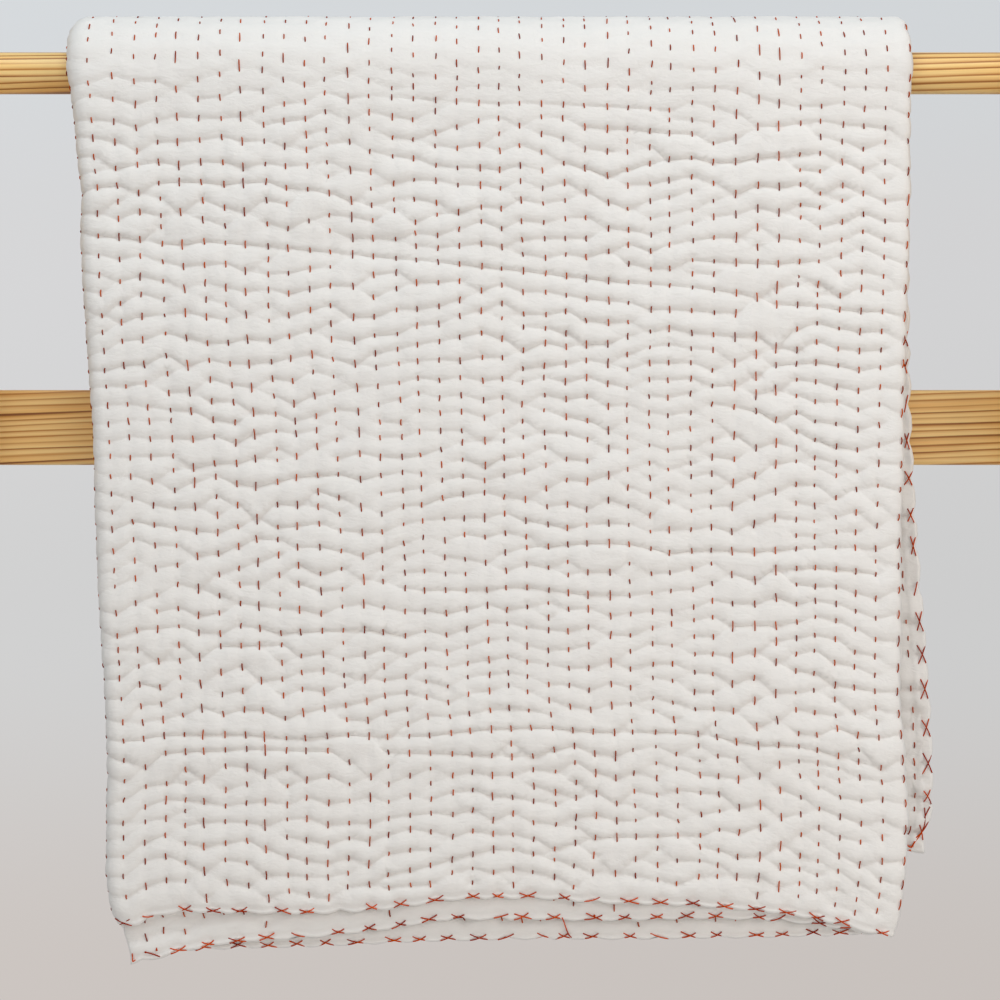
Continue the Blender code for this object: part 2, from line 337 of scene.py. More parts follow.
@dataclass
class FoldedDrape:
    """The cloth's middle surface: folded in three, hung over the rail.

    A place on the cloth is u, across from the inner layer's side hem, and v, along from the
    front hem, both in metres of flat cloth.
    """

    rail_y: float
    rail_z: float
    rail_radius: float
    rail_clearance: float = 0.0008
    solid_thickness: float = 0.0065
    layer_pitch: float = 0.0105
    flap_inset: float = 0.0045
    flap_flare: float = 0.0055
    tucked_hem: float = 0.350
    inner_width: float = 0.7416
    outer_width: float = 0.722
    flap_width: float = 0.712
    front_length: float = 0.775
    rail_length: float = 0.138
    hung_length: float = 1.570
    fold_bulge: float = 0.0042
    kicks: Triple = (0.0038, -0.0018, 0.0018)
    kick_fade: float = 0.030
    rail_loft: float = 0.0042
    loft_fade: float = 0.090
    flare_reach: float = 0.020
    swell_height: float = 0.0012
    swell_length: float = 0.210
    swell_slant: float = 0.4
    crease_fade: float = 0.060
    wander: float = 0.0016
    hem_level: float = 0.760
    hem_settle: float = 2.2
    flap_peep: float = 0.770
    peep_run: float = 0.012
    part_starts: Array = field(init=False)
    tables: dict[str, SmoothTable] = field(init=False)
    drift: LatticeNoise = field(init=False)

    def __post_init__(self) -> None:
        """Work out where the parts of the fold start, and ready the tables."""
        turned = math.pi * self.layer_pitch
        widths = (self.inner_width, turned, self.outer_width, turned / 2, self.flap_width)
        self.part_starts = np.concatenate(([0.0], np.cumsum(widths)))
        self.tables = {
            name: SmoothTable([row[0] for row in rows], [row[column] for row in rows])
            for names, rows in OUTLINES
            for column, name in enumerate(names, 1)
        }
        self.drift = LatticeNoise(11, 0.045, 0.110)

    @property
    def inner_depth(self) -> float:
        """Depth of the inner layer's middle off the rail."""
        return self.rail_clearance + self.solid_thickness / 2

    @property
    def flat_width(self) -> float:
        """Width of the flat cloth."""
        return float(self.part_starts[-1])

    @property
    def back_length(self) -> float:
        """Length of the cloth behind the rail."""
        return self.hung_length - self.front_length - self.rail_length

    @property
    def rail_top(self) -> float:
        """Where the cloth passes over the rail's top, along from the front hem."""
        return self.front_length + self.rail_length / 2

    @property
    def back_start(self) -> float:
        """Where the back drop starts, along from the front hem."""
        return self.front_length + self.rail_length

    @property
    def inner_end(self) -> float:
        """Where the inner layer meets the wide turn, across the cloth."""
        return self.span(FoldPart.INNER)[1]

    @property
    def flap_start(self) -> float:
        """Where the tight turn meets the flap, across the cloth."""
        return self.span(FoldPart.FLAP)[0]

    def span(self, part: FoldPart) -> Place:
        """Where a part of the fold starts and ends, across the cloth."""
        return float(self.part_starts[part]), float(self.part_starts[part + 1])

    def part_share(self, u: Array) -> tuple[Array, Array]:
        """Tell which part of the fold each place is in, and how far through it, from 0 to 1."""
        part = stretch_of(self.part_starts, u)
        return part, np.clip((u - self.part_starts[part]) / np.diff(self.part_starts)[part], 0.0, 1.0)

    def section(self, u: Array, left: Array, right: Array, side_hem: Array, inset: Array) -> Arrays:
        """Place the cloth's middle in the folded cross-section.

        Args:
            u: Places across the cloth.
            left: The left fold's outline at each place's height.
            right: The right fold's outline at each place's height.
            side_hem: The inner layer's side hem at each place's height.
            inset: How far the flap's side hem lies inside the left fold.

        Returns:
            The place across, the depth off the rail, and the face's direction in both.
        """
        part, share = self.part_share(u)
        wide, tight = self.layer_pitch, self.layer_pitch / 2
        left = left + self.fold_bulge
        right = right - self.fold_bulge
        outer_depth = self.inner_depth + 2 * self.layer_pitch
        flap_depth = self.inner_depth + self.layer_pitch
        angle = math.pi * share
        sine, cosine = np.sin(angle), np.cos(angle)
        zero, one = np.zeros_like(share), np.ones_like(share)
        choose = [part == other for other in FoldPart]
        across = np.select(choose, [
            side_hem + (left + wide - side_hem) * share,
            left + wide - wide * sine,
            left + wide + (right - tight - left - wide) * share,
            right - tight + tight * sine,
            right - tight + (left + inset - right + tight) * share,
        ])
        depth = np.select(choose, [
            zero + self.inner_depth,
            flap_depth - wide * cosine,
            zero + outer_depth,
            outer_depth - tight + tight * cosine,
            zero + flap_depth,
        ])
        face_across = np.select(choose, [zero, -sine, zero, sine, zero])
        face_depth = np.select(choose, [-one, -cosine, one, cosine, -one])
        return across, depth, face_across, face_depth

    def layer_mix(self, u: Array, inner: Array, outer: Array, flap: Array) -> Array:
        """Pick a value of the layer at each place, blended through the turns.

        Args:
            u: Places across the cloth.
            inner: The inner layer's value.
            outer: The outer layer's value.
            flap: The flap's value.

        Returns:
            The value at each place.
        """
        part, share = self.part_share(u)
        choose = [part == other for other in FoldPart]
        turning_in = inner * (1 - share) + outer * share
        turning_out = outer * (1 - share) + flap * share
        return np.select(choose, [inner, turning_in, outer, turning_out, flap])

    def hem_drops(self, u: Array) -> tuple[Array, Array]:
        """Work out how far below the rail's axis the cloth hangs in front and behind.

        Args:
            u: Places across the cloth.

        Returns:
            The front drop and the back drop.
        """
        left, right = (self.tables[name](self.hem_level) for name in ("front_left", "front_right"))
        x = self.section(u, left, right, self.tucked_hem, self.flap_inset)[0]
        inner, outer, flap = (self.tables[name](x) for name in ("inner", "outer", "flap"))
        part, share = self.part_share(u)
        early = ease(self.hem_settle * share)
        turned = inner * (1 - early) + outer * early
        front = np.where(part == FoldPart.WIDE_TURN, turned, self.layer_mix(u, inner, outer, flap))
        inner = np.full_like(u, self.rail_radius + self.inner_depth)
        radius = self.layer_mix(u, inner, inner + 2 * self.layer_pitch, inner + self.layer_pitch)
        return front, self.hung_length - front - math.pi * radius

    def hang(self, u: Array, v: Array) -> tuple[Array, Array, Array]:
        """Find where along the drape each place hangs.

        Args:
            u: Places across the cloth.
            v: Places along the cloth.

        Returns:
            The signed side (-1 front, 0 over the rail, 1 back), the turn round the rail in
            radians, and the drop below the rail's axis.
        """
        front, back = self.hem_drops(u)
        over = (v - self.front_length) / self.rail_length
        front_drop = (1 - v / self.front_length) * front
        back_drop = (v - self.front_length - self.rail_length) / self.back_length * back
        side = np.where(over < 0, -1.0, np.where(over > 1, 1.0, 0.0))
        drop = np.where(over < 0, front_drop, np.where(over > 1, back_drop, 0.0))
        return side, math.pi * np.clip(over, 0.0, 1.0), drop

    def outline(self, side: Array, turn: Array, drop: Array) -> Arrays:
        """Read the outline of the fold at each place.

        Args:
            side: Signed side of the rail.
            turn: Turn round the rail.
            drop: Drop below the rail's axis.

        Returns:
            The left fold, the right fold, the inner layer's side hem and the flap's inset.
        """
        back = np.where(side > 0, 1.0, np.where(side < 0, 0.0, turn / math.pi))
        read = self.tables
        left = read["front_left"](drop) * (1 - back) + read["back_left"](drop) * back
        right = read["front_right"](drop) * (1 - back) + read["back_right"](drop) * back
        side_hem = self.tucked_hem * (1 - back) + read["back_side_hem"](drop) * back
        peep = ease((drop - self.flap_peep) / self.peep_run)
        inset = self.flap_inset - self.flap_flare * (1 - back) * peep
        return left, right, side_hem, inset

    def place(self, u: Array, v: Array) -> tuple[Array, Array, Array]:
        """Find the signed side, the place across and the drop of the cloth's middle."""
        side, turn, drop = self.hang(u, v)
        return side, self.section(u, *self.outline(side, turn, drop))[0], drop

    def outer_place(self, x: float, drop: float) -> Place:
        """Find the flat place of a point of the outer layer's front.

        Args:
            x: Place across.
            drop: Drop below the rail's axis.

        Returns:
            The place across and along the flat cloth.
        """
        edges = self.outline(np.array([-1.0]), np.array([0.0]), np.array([drop]))
        start, end = self.span(FoldPart.OUTER)
        ends = np.array([start + 1e-6, end - 1e-6])
        across = self.section(ends, *(np.repeat(edge, 2) for edge in edges))[0]
        share = (x - across[0]) / (across[1] - across[0])
        u = float(ends[0] + np.clip(share, 0.0, 1.0) * (ends[1] - ends[0]))
        return u, self.front_length * (1 - drop / float(self.hem_drops(np.array([u]))[0][0]))

    def points(self, u: Array, v: Array, lift: Array, hem: Array) -> Array:
        """Place points of the cloth in space.

        Args:
            u: Places across the cloth.
            v: Places along the cloth.
            lift: How far each point stands off the middle, towards the face.
            hem: How much lower each point hangs than the even hem.

        Returns:
            One row of x, y and z for each point.
        """
        side, turn, drop = self.hang(u, v)
        drop = drop + hem * np.abs(side)
        left, right, side_hem, inset = self.outline(side, turn, drop)
        x, depth, face_across, face_depth = self.section(u, left, right, side_hem, inset)
        x = x - self.tables["flare"](drop) * np.exp(-(x - left) / self.flare_reach)
        fade = np.clip(drop / self.crease_fade, 0.0, 1.0)
        swell = self.swell_height * np.sin(2 * math.pi * (x + self.swell_slant * drop) / self.swell_length)
        relief = fade * (swell + crease_relief(STACK_CREASES, x, drop, 2.0))
        none = np.zeros_like(v)
        kick = self.layer_mix(u, *(none + kick for kick in self.kicks))
        relief += kick * np.exp(-v / self.kick_fade)
        loft = self.rail_loft * (1 - ease(drop / self.loft_fade))
        relief += self.layer_mix(u, none, loft, loft / 2)
        x = x + self.wander * self.drift(u, v) + face_across * lift
        radius = self.rail_radius + depth + relief + face_depth * lift
        y = self.rail_y - radius * np.cos(turn)
        z = self.rail_z + np.where(side == 0, radius * np.sin(turn), -drop)
        return np.column_stack((x, y, z))


class Stitch(NamedTuple):
    """One visible stitch: its middle along the cloth, its length, pull and dent's spread."""

    v: float
    length: float
    pull: float
    spread: float


class Guide(NamedTuple):
    """A straight line on the flat cloth that stitches line up along."""

    u_start: float
    v_start: float
    u_end: float
    v_end: float
    pull: float
    spread: float


class Variation(NamedTuple):
    """A value that drifts over the cloth and differs from stitch to stitch."""

    usual: float
    drift: float
    jitter: float


@dataclass
class StitchChart:
    """Rows of running stitch on one side of the cloth, and the troughs that join them."""

    width: float
    length: float
    rail_top: float
    seed: int
    guides: Sequence[Guide] = ()
    row_pitch: float = 0.01905
    row_jitter: float = 0.0010
    stitch_pitch: float = 0.0163
    pitch_stretches: tuple[float, ...] = (1.0, 1.12, 1.36)
    stretch_shares: tuple[float, ...] = (0.55, 0.25, 0.20)
    pitch_jitter: float = 0.0014
    stretch_spread: Place = (0.95, 1.05)
    first_stitch: Place = (0.2, 0.8)
    slip: float = 0.25
    wave_height: float = 0.0060
    stretch_power: float = 1.6
    shortest: float = 0.0030
    usual: float = 0.0046
    longest: float = 0.0070
    edge: float = 0.0155
    puff: float = 0.0031
    under_width: float = 0.0019
    upper_width: float = 0.0058
    row_groove: float = 0.0007
    slack: float = 0.40
    least_slack: float = 0.35
    slackest: float = 0.92
    steep: float = 0.0062
    rumple_height: float = 0.0006
    rumple_slant: float = 0.6
    end_pull: float = 0.5
    crown_power: float = 0.75
    least_gap: float = 0.0085
    bare_end: float = 0.012
    guide_reach: float = 0.03
    lead_in: float = 0.1
    far_apart: float = 0.07
    row_hold: float = 0.0012
    row_reach: float = 0.0026
    shallow: float = 0.8
    sharpness: float = 1.15
    fullness_drift: float = 0.24
    plumpness_drift: float = 0.25
    widest_puff: float = 1.35
    pull_limits: Place = (0.15, 1.05)
    pulling: Variation = Variation(0.78, 0.20, 0.22)
    spreading: Variation = Variation(0.95, 0.30, 0.15)
    rows: Array = field(init=False)
    stitches: list[list[Stitch]] = field(init=False)
    links: list[Arrays] = field(init=False)
    fullness: LatticeNoise = field(init=False)
    plumpness: LatticeNoise = field(init=False)
    rumple: LatticeNoise = field(init=False)

    def __post_init__(self) -> None:
        """Place the rows and their stitches, and join the stitches across the rows."""
        rng = np.random.default_rng(self.seed)
        even = np.arange(self.edge, self.width - 0.6 * self.edge, self.row_pitch)
        self.rows = even + rng.uniform(-self.row_jitter, self.row_jitter, len(even))
        self.fullness = LatticeNoise(self.seed + 4, 0.030, 0.020)
        self.plumpness = LatticeNoise(self.seed + 5, 0.130, 0.110)
        self.rumple = LatticeNoise(self.seed + 7, 0.017, 0.008)
        waves = LatticeNoise(self.seed + 1, 0.075, 0.060)
        slips = LatticeNoise(self.seed + 2, 0.018, 0.240)
        pulls = LatticeNoise(self.seed + 3, 0.045, 0.040)
        spreads = LatticeNoise(self.seed + 6, 0.060, 0.030)
        self.stitches = []
        for u in self.rows:
            stretch = rng.choice(self.pitch_stretches, p=self.stretch_shares)
            stretch *= rng.uniform(*self.stretch_spread)
            lines = int(self.length / (self.stitch_pitch * stretch))
            line = (np.arange(lines) + rng.uniform(*self.first_stitch)) * self.length / lines
            middle = line + self.wave_height * waves(u, line)
            middle = middle + self.slip * self.stitch_pitch * slips(u, line)
            middle = np.sort(middle + rng.normal(0.0, self.pitch_jitter, lines))
            ladder = self.least_gap * np.arange(lines)
            spaced = np.maximum.accumulate(middle - ladder) + ladder
            sizes = rng.triangular(self.shortest, self.usual, self.longest, lines)
            sizes = sizes * stretch**self.stretch_power
            pull, spread = (
                kind.usual + kind.drift * noise(u, spaced) + rng.uniform(-kind.jitter, kind.jitter, lines)
                for kind, noise in ((self.pulling, pulls), (self.spreading, spreads))
            )
            self.line_up(float(u), spaced, pull, spread)
            inside = (spaced > self.bare_end) & (spaced < self.length - self.bare_end)
            pull = np.clip(pull, *self.pull_limits)
            values = zip(spaced[inside], sizes[inside], pull[inside], spread[inside])
            self.stitches.append([Stitch(*value) for value in values])
        self.links = [self.join(a, b) for a, b in zip(self.stitches, self.stitches[1:])]

    def line_up(self, u: float, places: Array, pull: Array, spread: Array) -> None:
        """Move a row's stitches onto the guides that cross it, and their neighbours with them.

        Args:
            u: The row's place across the cloth.
            places: The stitches' middles, changed in place.
            pull: How hard each stitch pulls, changed in place.
            spread: How wide each stitch's dent is, changed in place.
        """
        moves: dict[int, float] = {}
        for guide in self.guides:
            if guide.u_start <= u < guide.u_end:
                share = (u - guide.u_start) / (guide.u_end - guide.u_start)
                target = guide.v_start + share * (guide.v_end - guide.v_start)
                nearest = int(np.argmin(np.abs(places - target)))
                if nearest not in moves:
                    moves[nearest] = target - places[nearest]
                    pull[nearest], spread[nearest] = guide.pull, guide.spread
        reach = self.guide_reach
        knots: list[Place] = [(places[0] - self.lead_in, 0.0)]
        for index in sorted(moves):
            if places[index] - knots[-1][0] > self.far_apart:
                knots += [(knots[-1][0] + reach, 0.0), (places[index] - reach, 0.0)]
            knots.append((places[index], moves[index]))
        at, shift = zip(*knots, (knots[-1][0] + reach, 0.0))
        places += np.interp(places, at, shift)

    def join(self, row: list[Stitch], after: list[Stitch]) -> Arrays:
        """Join each stitch of a row to the nearest of the next row, and the other way.

        Args:
            row: Stitches of a row.
            after: Stitches of the next row.

        Returns:
            Both ends of each trough along the cloth, the pull and spread at both ends, and how
            slack the trough is between them.
        """
        v_row, v_after = (np.array([stitch.v for stitch in line]) for line in (row, after))
        pairs = {(i, int(np.argmin(np.abs(v_after - v)))) for i, v in enumerate(v_row)}
        pairs |= {(int(np.argmin(np.abs(v_row - v))), i) for i, v in enumerate(v_after)}
        here, there = (list(ends) for ends in zip(*sorted(pairs)))
        row_holds, after_holds = (
            np.array([(stitch.pull, stitch.spread) for stitch in line]) for line in (row, after)
        )
        rise = np.abs(v_row[here] - v_after[there])
        slack = np.clip(self.slack * (self.least_slack + (rise / self.steep) ** 1.5), 0.0, self.slackest)
        return v_row[here], v_after[there], row_holds[here], after_holds[there], slack

    def troughs(self, u: float) -> tuple[Array, Array, Array, float]:
        """Find the troughs that cross one line of the cloth.

        Args:
            u: Place of the line across the cloth.

        Returns:
            The troughs' places along the line, how deep each is pulled, how wide each spreads,
            and the distance from the line to the nearest row of stitching.
        """
        strip = int(stretch_of(self.rows, u, "left"))
        gap = self.rows[strip + 1] - self.rows[strip]
        share = float(np.clip((u - self.rows[strip]) / gap, 0.0, 1.0))
        near, far, holds_near, holds_far, slack = self.links[strip]
        eased = float(ease(np.float64(share)))
        places = near * (1 - eased) + far * eased
        pull, spread = (holds_near * (1 - share) + holds_far * share).T
        loose = slack * math.sin(math.pi * share) * np.clip(1.6 * spread - 0.6, 0.2, 1.0)
        order = np.argsort(places, kind="stable")
        beside = float(np.min(np.abs(self.rows - u)))
        return places[order], (pull * (1 - loose))[order], spread[order], beside

    def relief(self, u: float, v: Array) -> Array:
        """Work out how far the padding puffs up along one line of the cloth.

        Args:
            u: Place of the line across the cloth.
            v: Places along the line.

        Returns:
            Height over the stitched-down cloth.
        """
        trough, pull, spread, beside = self.troughs(u)
        trough = np.concatenate(([-self.stitch_pitch], trough, [self.length + self.stitch_pitch]))
        pull = np.concatenate(([self.end_pull], pull, [self.end_pull]))
        spread = np.concatenate(([1.0], spread, [1.0]))
        low = stretch_of(trough, v)
        span = np.maximum(trough[low + 1] - trough[low], 1e-5)
        beside_row = math.exp(-((beside / self.row_reach) ** 2))
        held = self.row_hold * beside_row
        rising = v < self.rail_top
        width_low = np.where(rising, self.under_width, self.upper_width) * spread[low]
        width_high = np.where(rising, self.upper_width, self.under_width) * spread[low + 1]
        clear = np.maximum(span - 2 * held, 0.0)
        bite_low = self.bite(np.maximum(v - trough[low] - held, 0.0), clear, width_low)
        bite_high = self.bite(np.maximum(trough[low + 1] - v - held, 0.0), clear, width_high)
        floor_low, floor_high = (self.puff * self.shallow * (1 - pull[row]) for row in (low, low + 1))
        full = 1 + self.fullness_drift * self.fullness(u, v) + self.plumpness_drift * self.plumpness(u, v)
        crown = self.puff * full * np.minimum(span / self.stitch_pitch, self.widest_puff) ** self.crown_power
        crown = np.maximum(crown, (floor_low + floor_high) / 2)
        open_share = (1 - bite_low) * (1 - bite_high)
        total = bite_low + bite_high + open_share
        height = (bite_low * floor_low + bite_high * floor_high + open_share * crown) / total
        height += self.rumple_height * self.rumple(u + self.rumple_slant * v, v)
        return height - self.row_groove * beside_row

    def bite(self, away: Array, clear: Array, width: Array) -> Array:
        """Work out how strongly a trough of some width holds the cloth, from 1 in it to 0 at the next."""
        here, reach = (np.exp(-((gap / width) ** self.sharpness)) for gap in (away, clear))
        return np.clip((here - reach) / (1 - reach + 1e-6), 0.0, 1.0)


@dataclass
class HemStitching:
    """Places of the crossed stitches along one edge, and the scallops between them."""

    length: float
    seed: int
    pitch: float = 0.0297
    jitter: float = 0.0034
    scallop: float = 0.0038
    lobe_power: float = 0.7
    bulge_power: float = 1.6
    places: Array = field(init=False)

    def __post_init__(self) -> None:
        """Space the crosses along the edge."""
        rng = np.random.default_rng(self.seed)
        count = int(self.length / self.pitch)
        even = (np.arange(count) + 0.5) * self.length / count
        self.places = even + rng.uniform(-self.jitter, self.jitter, count)

    def meet(self, lines: Array) -> None:
        """Move each cross onto the nearest of the mesh's lines."""
        self.places = np.unique(lines[np.argmin(np.abs(lines[:, None] - self.places), axis=0)])

    def lobe(self, at: Array) -> Array:
        """Tell how free the edge is: 0 at a cross, 1 midway between two.

        Args:
            at: Places along the edge.

        Returns:
            The freedom at each place.
        """
        marks = np.concatenate(([self.places[0] - self.pitch], self.places, [self.places[-1] + self.pitch]))
        low = stretch_of(marks, at)
        share = np.clip((at - marks[low]) / (marks[low + 1] - marks[low]), 0.0, 1.0)
        return np.sin(math.pi * share) ** self.lobe_power

    def bulge(self, at: Array) -> Array:
        """Work out how far the edge bows out between the crosses."""
        return self.scallop * self.lobe(at) ** self.bulge_power


class Column(NamedTuple):
    """One line of the mesh along the cloth: its side, its place, its rows and whether it shows."""

    side: ClothSide
    u: float
    rows: RowSet
    fine: bool


@dataclass
class QuiltMesh:
    """The quilt as one closed mesh, fine where it shows and coarse between its layers."""

    drape: FoldedDrape
    charts: dict[ClothSide, StitchChart]
    front_hem: HemStitching
    back_hem: HemStitching
    side_hem: HemStitching
    front_step: float = 0.0028
    rail_step: float = 0.0045
    back_step: float = 0.0056
    first_rows: tuple[float, ...] = (0.0, 0.0005, 0.0014, 0.0028, 0.0044, 0.0062)
    first_step: float = 0.0088
    fine_shares: tuple[float, ...] = (0.0, 0.2, 0.5, 0.8)
    plain_shares: tuple[float, ...] = (0.0, 0.5)
    crowding: float = 0.11
    coarse_every: tuple[int, int, int] = (10, 4, 6)
    coarse_columns: tuple[int, int] = (20, 34)
    turn_overlap: float = 0.003
    turn_gaps: Place = (0.004, 0.010)
    narrowest: float = 0.002
    base: float = 0.0019
    hidden_lift: float = 0.0032
    thin_hem: float = 0.0014
    edge_radius: float = 0.0036
    thinnest: float = 0.14
    rail_puff: float = 0.50
    inner_rail_puff: float = 0.10
    loosening: Place = (0.015, 0.075)
    deepest: float = -0.0008
    hem_band: float = 0.046
    margin: float = 0.0150
    side_margin: float = 0.0080
    seam_inset: float = 0.0046
    seam_depth: float = 0.85
    seam_reach: float = 0.0015
    hem_fullness: Place = (0.34, 0.45)
    scallop_reach: float = 0.010
    drawn_up: float = 0.0015
    hidden_drawn_up: float = 0.0042
    fold_hold: float = 0.42
    fold_reach: float = 0.022
    strip_width: float = 0.062
    strip_fullness: float = 0.9
    strip_start: float = 0.10
    strip_smooth: Place = (0.66, 0.02)
    row_places: Array = field(init=False)
    stretches: tuple[slice, slice] = field(init=False)
    subsets: dict[RowSet, Array] = field(init=False)
    columns: list[Column] = field(init=False)

    def __post_init__(self) -> None:
        """Lay out the rows and the columns."""
        self.lay_rows()
        self.lay_columns()
        lines = np.array([column.u for column in self.columns if self.shows_at_hem(column)])
        self.front_hem.meet(lines)
        self.back_hem.meet(lines)

    def shows_at_hem(self, column: Column) -> bool:
        """Tell whether a column is on the side that faces outwards at the front and back hems."""
        outer = self.drape.inner_end < column.u < self.drape.flap_start
        return column.fine and outer == (column.side is ClothSide.FACE)

    def lay_rows(self) -> None:
        """Place the rows along the cloth, and name the sets of rows that columns use."""
        drape = self.drape
        edge = np.array(self.first_rows)
        front = np.arange(self.first_step, drape.front_length - self.front_step / 2, self.front_step)
        rail_count = int(round(drape.rail_length / self.rail_step))
        rail = drape.front_length + np.linspace(0.0, drape.rail_length, rail_count + 1)
        back_start, back_end = drape.back_start, drape.hung_length - self.first_step
        back = np.linspace(back_start, back_end, int((back_end - back_start) / self.back_step))[1:]
        places = self.row_places = np.concatenate((edge, front, rail, back, drape.hung_length - edge[::-1]))
        rail_end = len(edge) + len(front) + rail_count
        self.stretches = (
            slice(len(edge) - 1, len(edge) + len(front) + 1),
            slice(rail_end, rail_end + len(back) + 2),
        )
        index = np.arange(len(places))
        tips = (index < len(edge)) | (index >= len(places) - len(edge))
        seams = np.isin(index, [len(edge) + len(front), rail_end])
        in_front, behind = places < drape.front_length, places > back_start
        over = ~in_front & ~behind
        coarse = tips | seams | np.isin(index, [len(edge) - 1, len(places) - len(edge)])
        for stretch, every in zip((in_front, over, behind), self.coarse_every):
            coarse |= stretch & (index % every == 0)
        hems = coarse | (places < self.hem_band) | (places > drape.hung_length - self.hem_band)
        strip = coarse | ~in_front | (places < self.hem_band)
        self.subsets = dict(zip(RowSet, (index, index[coarse], index[hems], index[strip])))

    def fine_places(self, side: ClothSide, start: float, end: float) -> Array:
        """Divide a stretch of the cloth between its rows of stitching.

        Args:
            side: The side of the cloth.
            start: Where the stretch starts, across the cloth.
            end: Where it ends.

        Returns:
            Places of the columns, the start not among them.
        """
        shares = np.array(self.fine_shares if side is ClothSide.FACE else self.plain_shares)
        marks = self.charts[side].rows
        marks = marks[(marks > start + self.narrowest) & (marks < end - self.narrowest)]
        marks = np.concatenate(([start], marks, [end]))
        return np.concatenate([a + (b - a) * shares for a, b in zip(marks, marks[1:])])[1:]

    def lay_columns(self) -> None:
        """Place the columns round the cloth: along the face, then back along the reverse."""
        face, reverse = ClothSide.FACE, ClothSide.REVERSE
        width, inner_end, flap_start = self.drape.flat_width, self.drape.inner_end, self.drape.flap_start
        tip = np.array(self.first_rows[:4])
        near, strip, far = tip[-1], self.strip_width, width - tip[-1]
        coarse, overlap, gaps = self.coarse_columns, self.turn_overlap, self.turn_gaps
        runs = (
            (face, RowSet.STRIP, True, tip),
            (face, RowSet.STRIP, True, self.fine_places(face, near, strip)),
            (face, RowSet.COARSE, False, np.linspace(strip, inner_end - gaps[0], coarse[0])),
            (face, RowSet.ALL, True, self.fine_places(face, inner_end - overlap, flap_start + overlap)),
            (face, RowSet.COARSE, False, np.linspace(flap_start + gaps[1], far, coarse[0])),
            (face, RowSet.HEMS, False, width - tip[2::-1]),
            (reverse, RowSet.HEMS, True, width - tip),
            (reverse, RowSet.HEMS, True, self.fine_places(reverse, flap_start, far)[::-1]),
            (reverse, RowSet.COARSE, False, np.linspace(inner_end, flap_start, coarse[1])[::-1]),
            (reverse, RowSet.HEMS, True, self.fine_places(reverse, strip, inner_end)[::-1]),
            (reverse, RowSet.STRIP, True, self.fine_places(reverse, near, strip)[::-1]),
            (reverse, RowSet.STRIP, True, tip[::-1]),
        )
        self.columns = [
            Column(side, float(u), rows, fine) for side, rows, fine, places in runs for u in places
        ]

    def column_places(self, column: Column) -> Array:
        """Place one column's rows, slid to lie along the troughs where it shows.

        Args:
            column: The column.

        Returns:
            The rows' places along the cloth.
        """
        places = self.row_places.copy()
        if column.fine:
            near_edge = column.u < self.margin / 2
            troughs = self.side_hem.places if near_edge else self.charts[column.side].troughs(column.u)[0]
            for stretch in self.stretches:
                places[stretch] = self.follow(places[stretch], troughs)
        return places[self.subsets[column.rows]]

    def follow(self, places: Array, troughs: Array) -> Array:
        """Slide evenly spaced rows onto the troughs, and crowd them there.

        Args:
            places: Places of the rows of one stretch.
            troughs: Places of the troughs.

        Returns:
            The new places, with the same ends.
        """
        count = len(places)
        at_row = np.interp(troughs, places, np.arange(count))
        knots = [(0, places[0])]
        for row, place in zip(np.rint(at_row).astype(int), troughs):
            if row >= knots[-1][0] + 2 and row <= count - 3 and place > knots[-1][1]:
                knots.append((int(row), place))
        knots.append((count - 1, places[-1]))
        rows, marks = (np.array(ends) for ends in zip(*knots))
        index = np.arange(count)
        low = stretch_of(rows, index)
        share = (index - rows[low]) / (rows[low + 1] - rows[low])
        crowd = np.where((low > 0) & (low < len(rows) - 2), self.crowding, 0.0)
        share = share - crowd * np.sin(2 * math.pi * share)
        return marks[low] + share * (marks[low + 1] - marks[low])

    def edge_rounding(self, u: Array, v: Array) -> Array:
        """Work out the share of its thickness that the cloth has as it rounds off to its free edges."""
        near = np.minimum(np.minimum(u, self.drape.flat_width - u), np.minimum(v, self.drape.hung_length - v))
        return np.maximum(np.sqrt(1 - (1 - np.clip(near / self.edge_radius, 0.0, 1.0)) ** 2), self.thinnest)

    def looseness(self, u: Array, v: Array) -> Array:
        """Tell how freely the padding puffs: little over the rail, fully on the drops.

        Args:
            u: Places across the cloth.
            v: Places along the cloth.

        Returns:
            The share of the full puff.
        """
        drape = self.drape
        side, _, drop = drape.hang(u, v)
        start, run = self.loosening
        hanging = self.rail_puff + (1 - self.rail_puff) * ease((drop - start) / run)
        part, _ = drape.part_share(u)
        on_rail = np.where(part == FoldPart.INNER, self.inner_rail_puff, self.rail_puff)
        for turn in (FoldPart.WIDE_TURN, FoldPart.TIGHT_TURN):
            fold = sum(drape.span(turn)) / 2
            hanging = hanging * (1 - self.fold_hold * np.exp(-(((u - fold) / self.fold_reach) ** 2)))
        return np.where(side == 0, on_rail, np.maximum(hanging, on_rail))

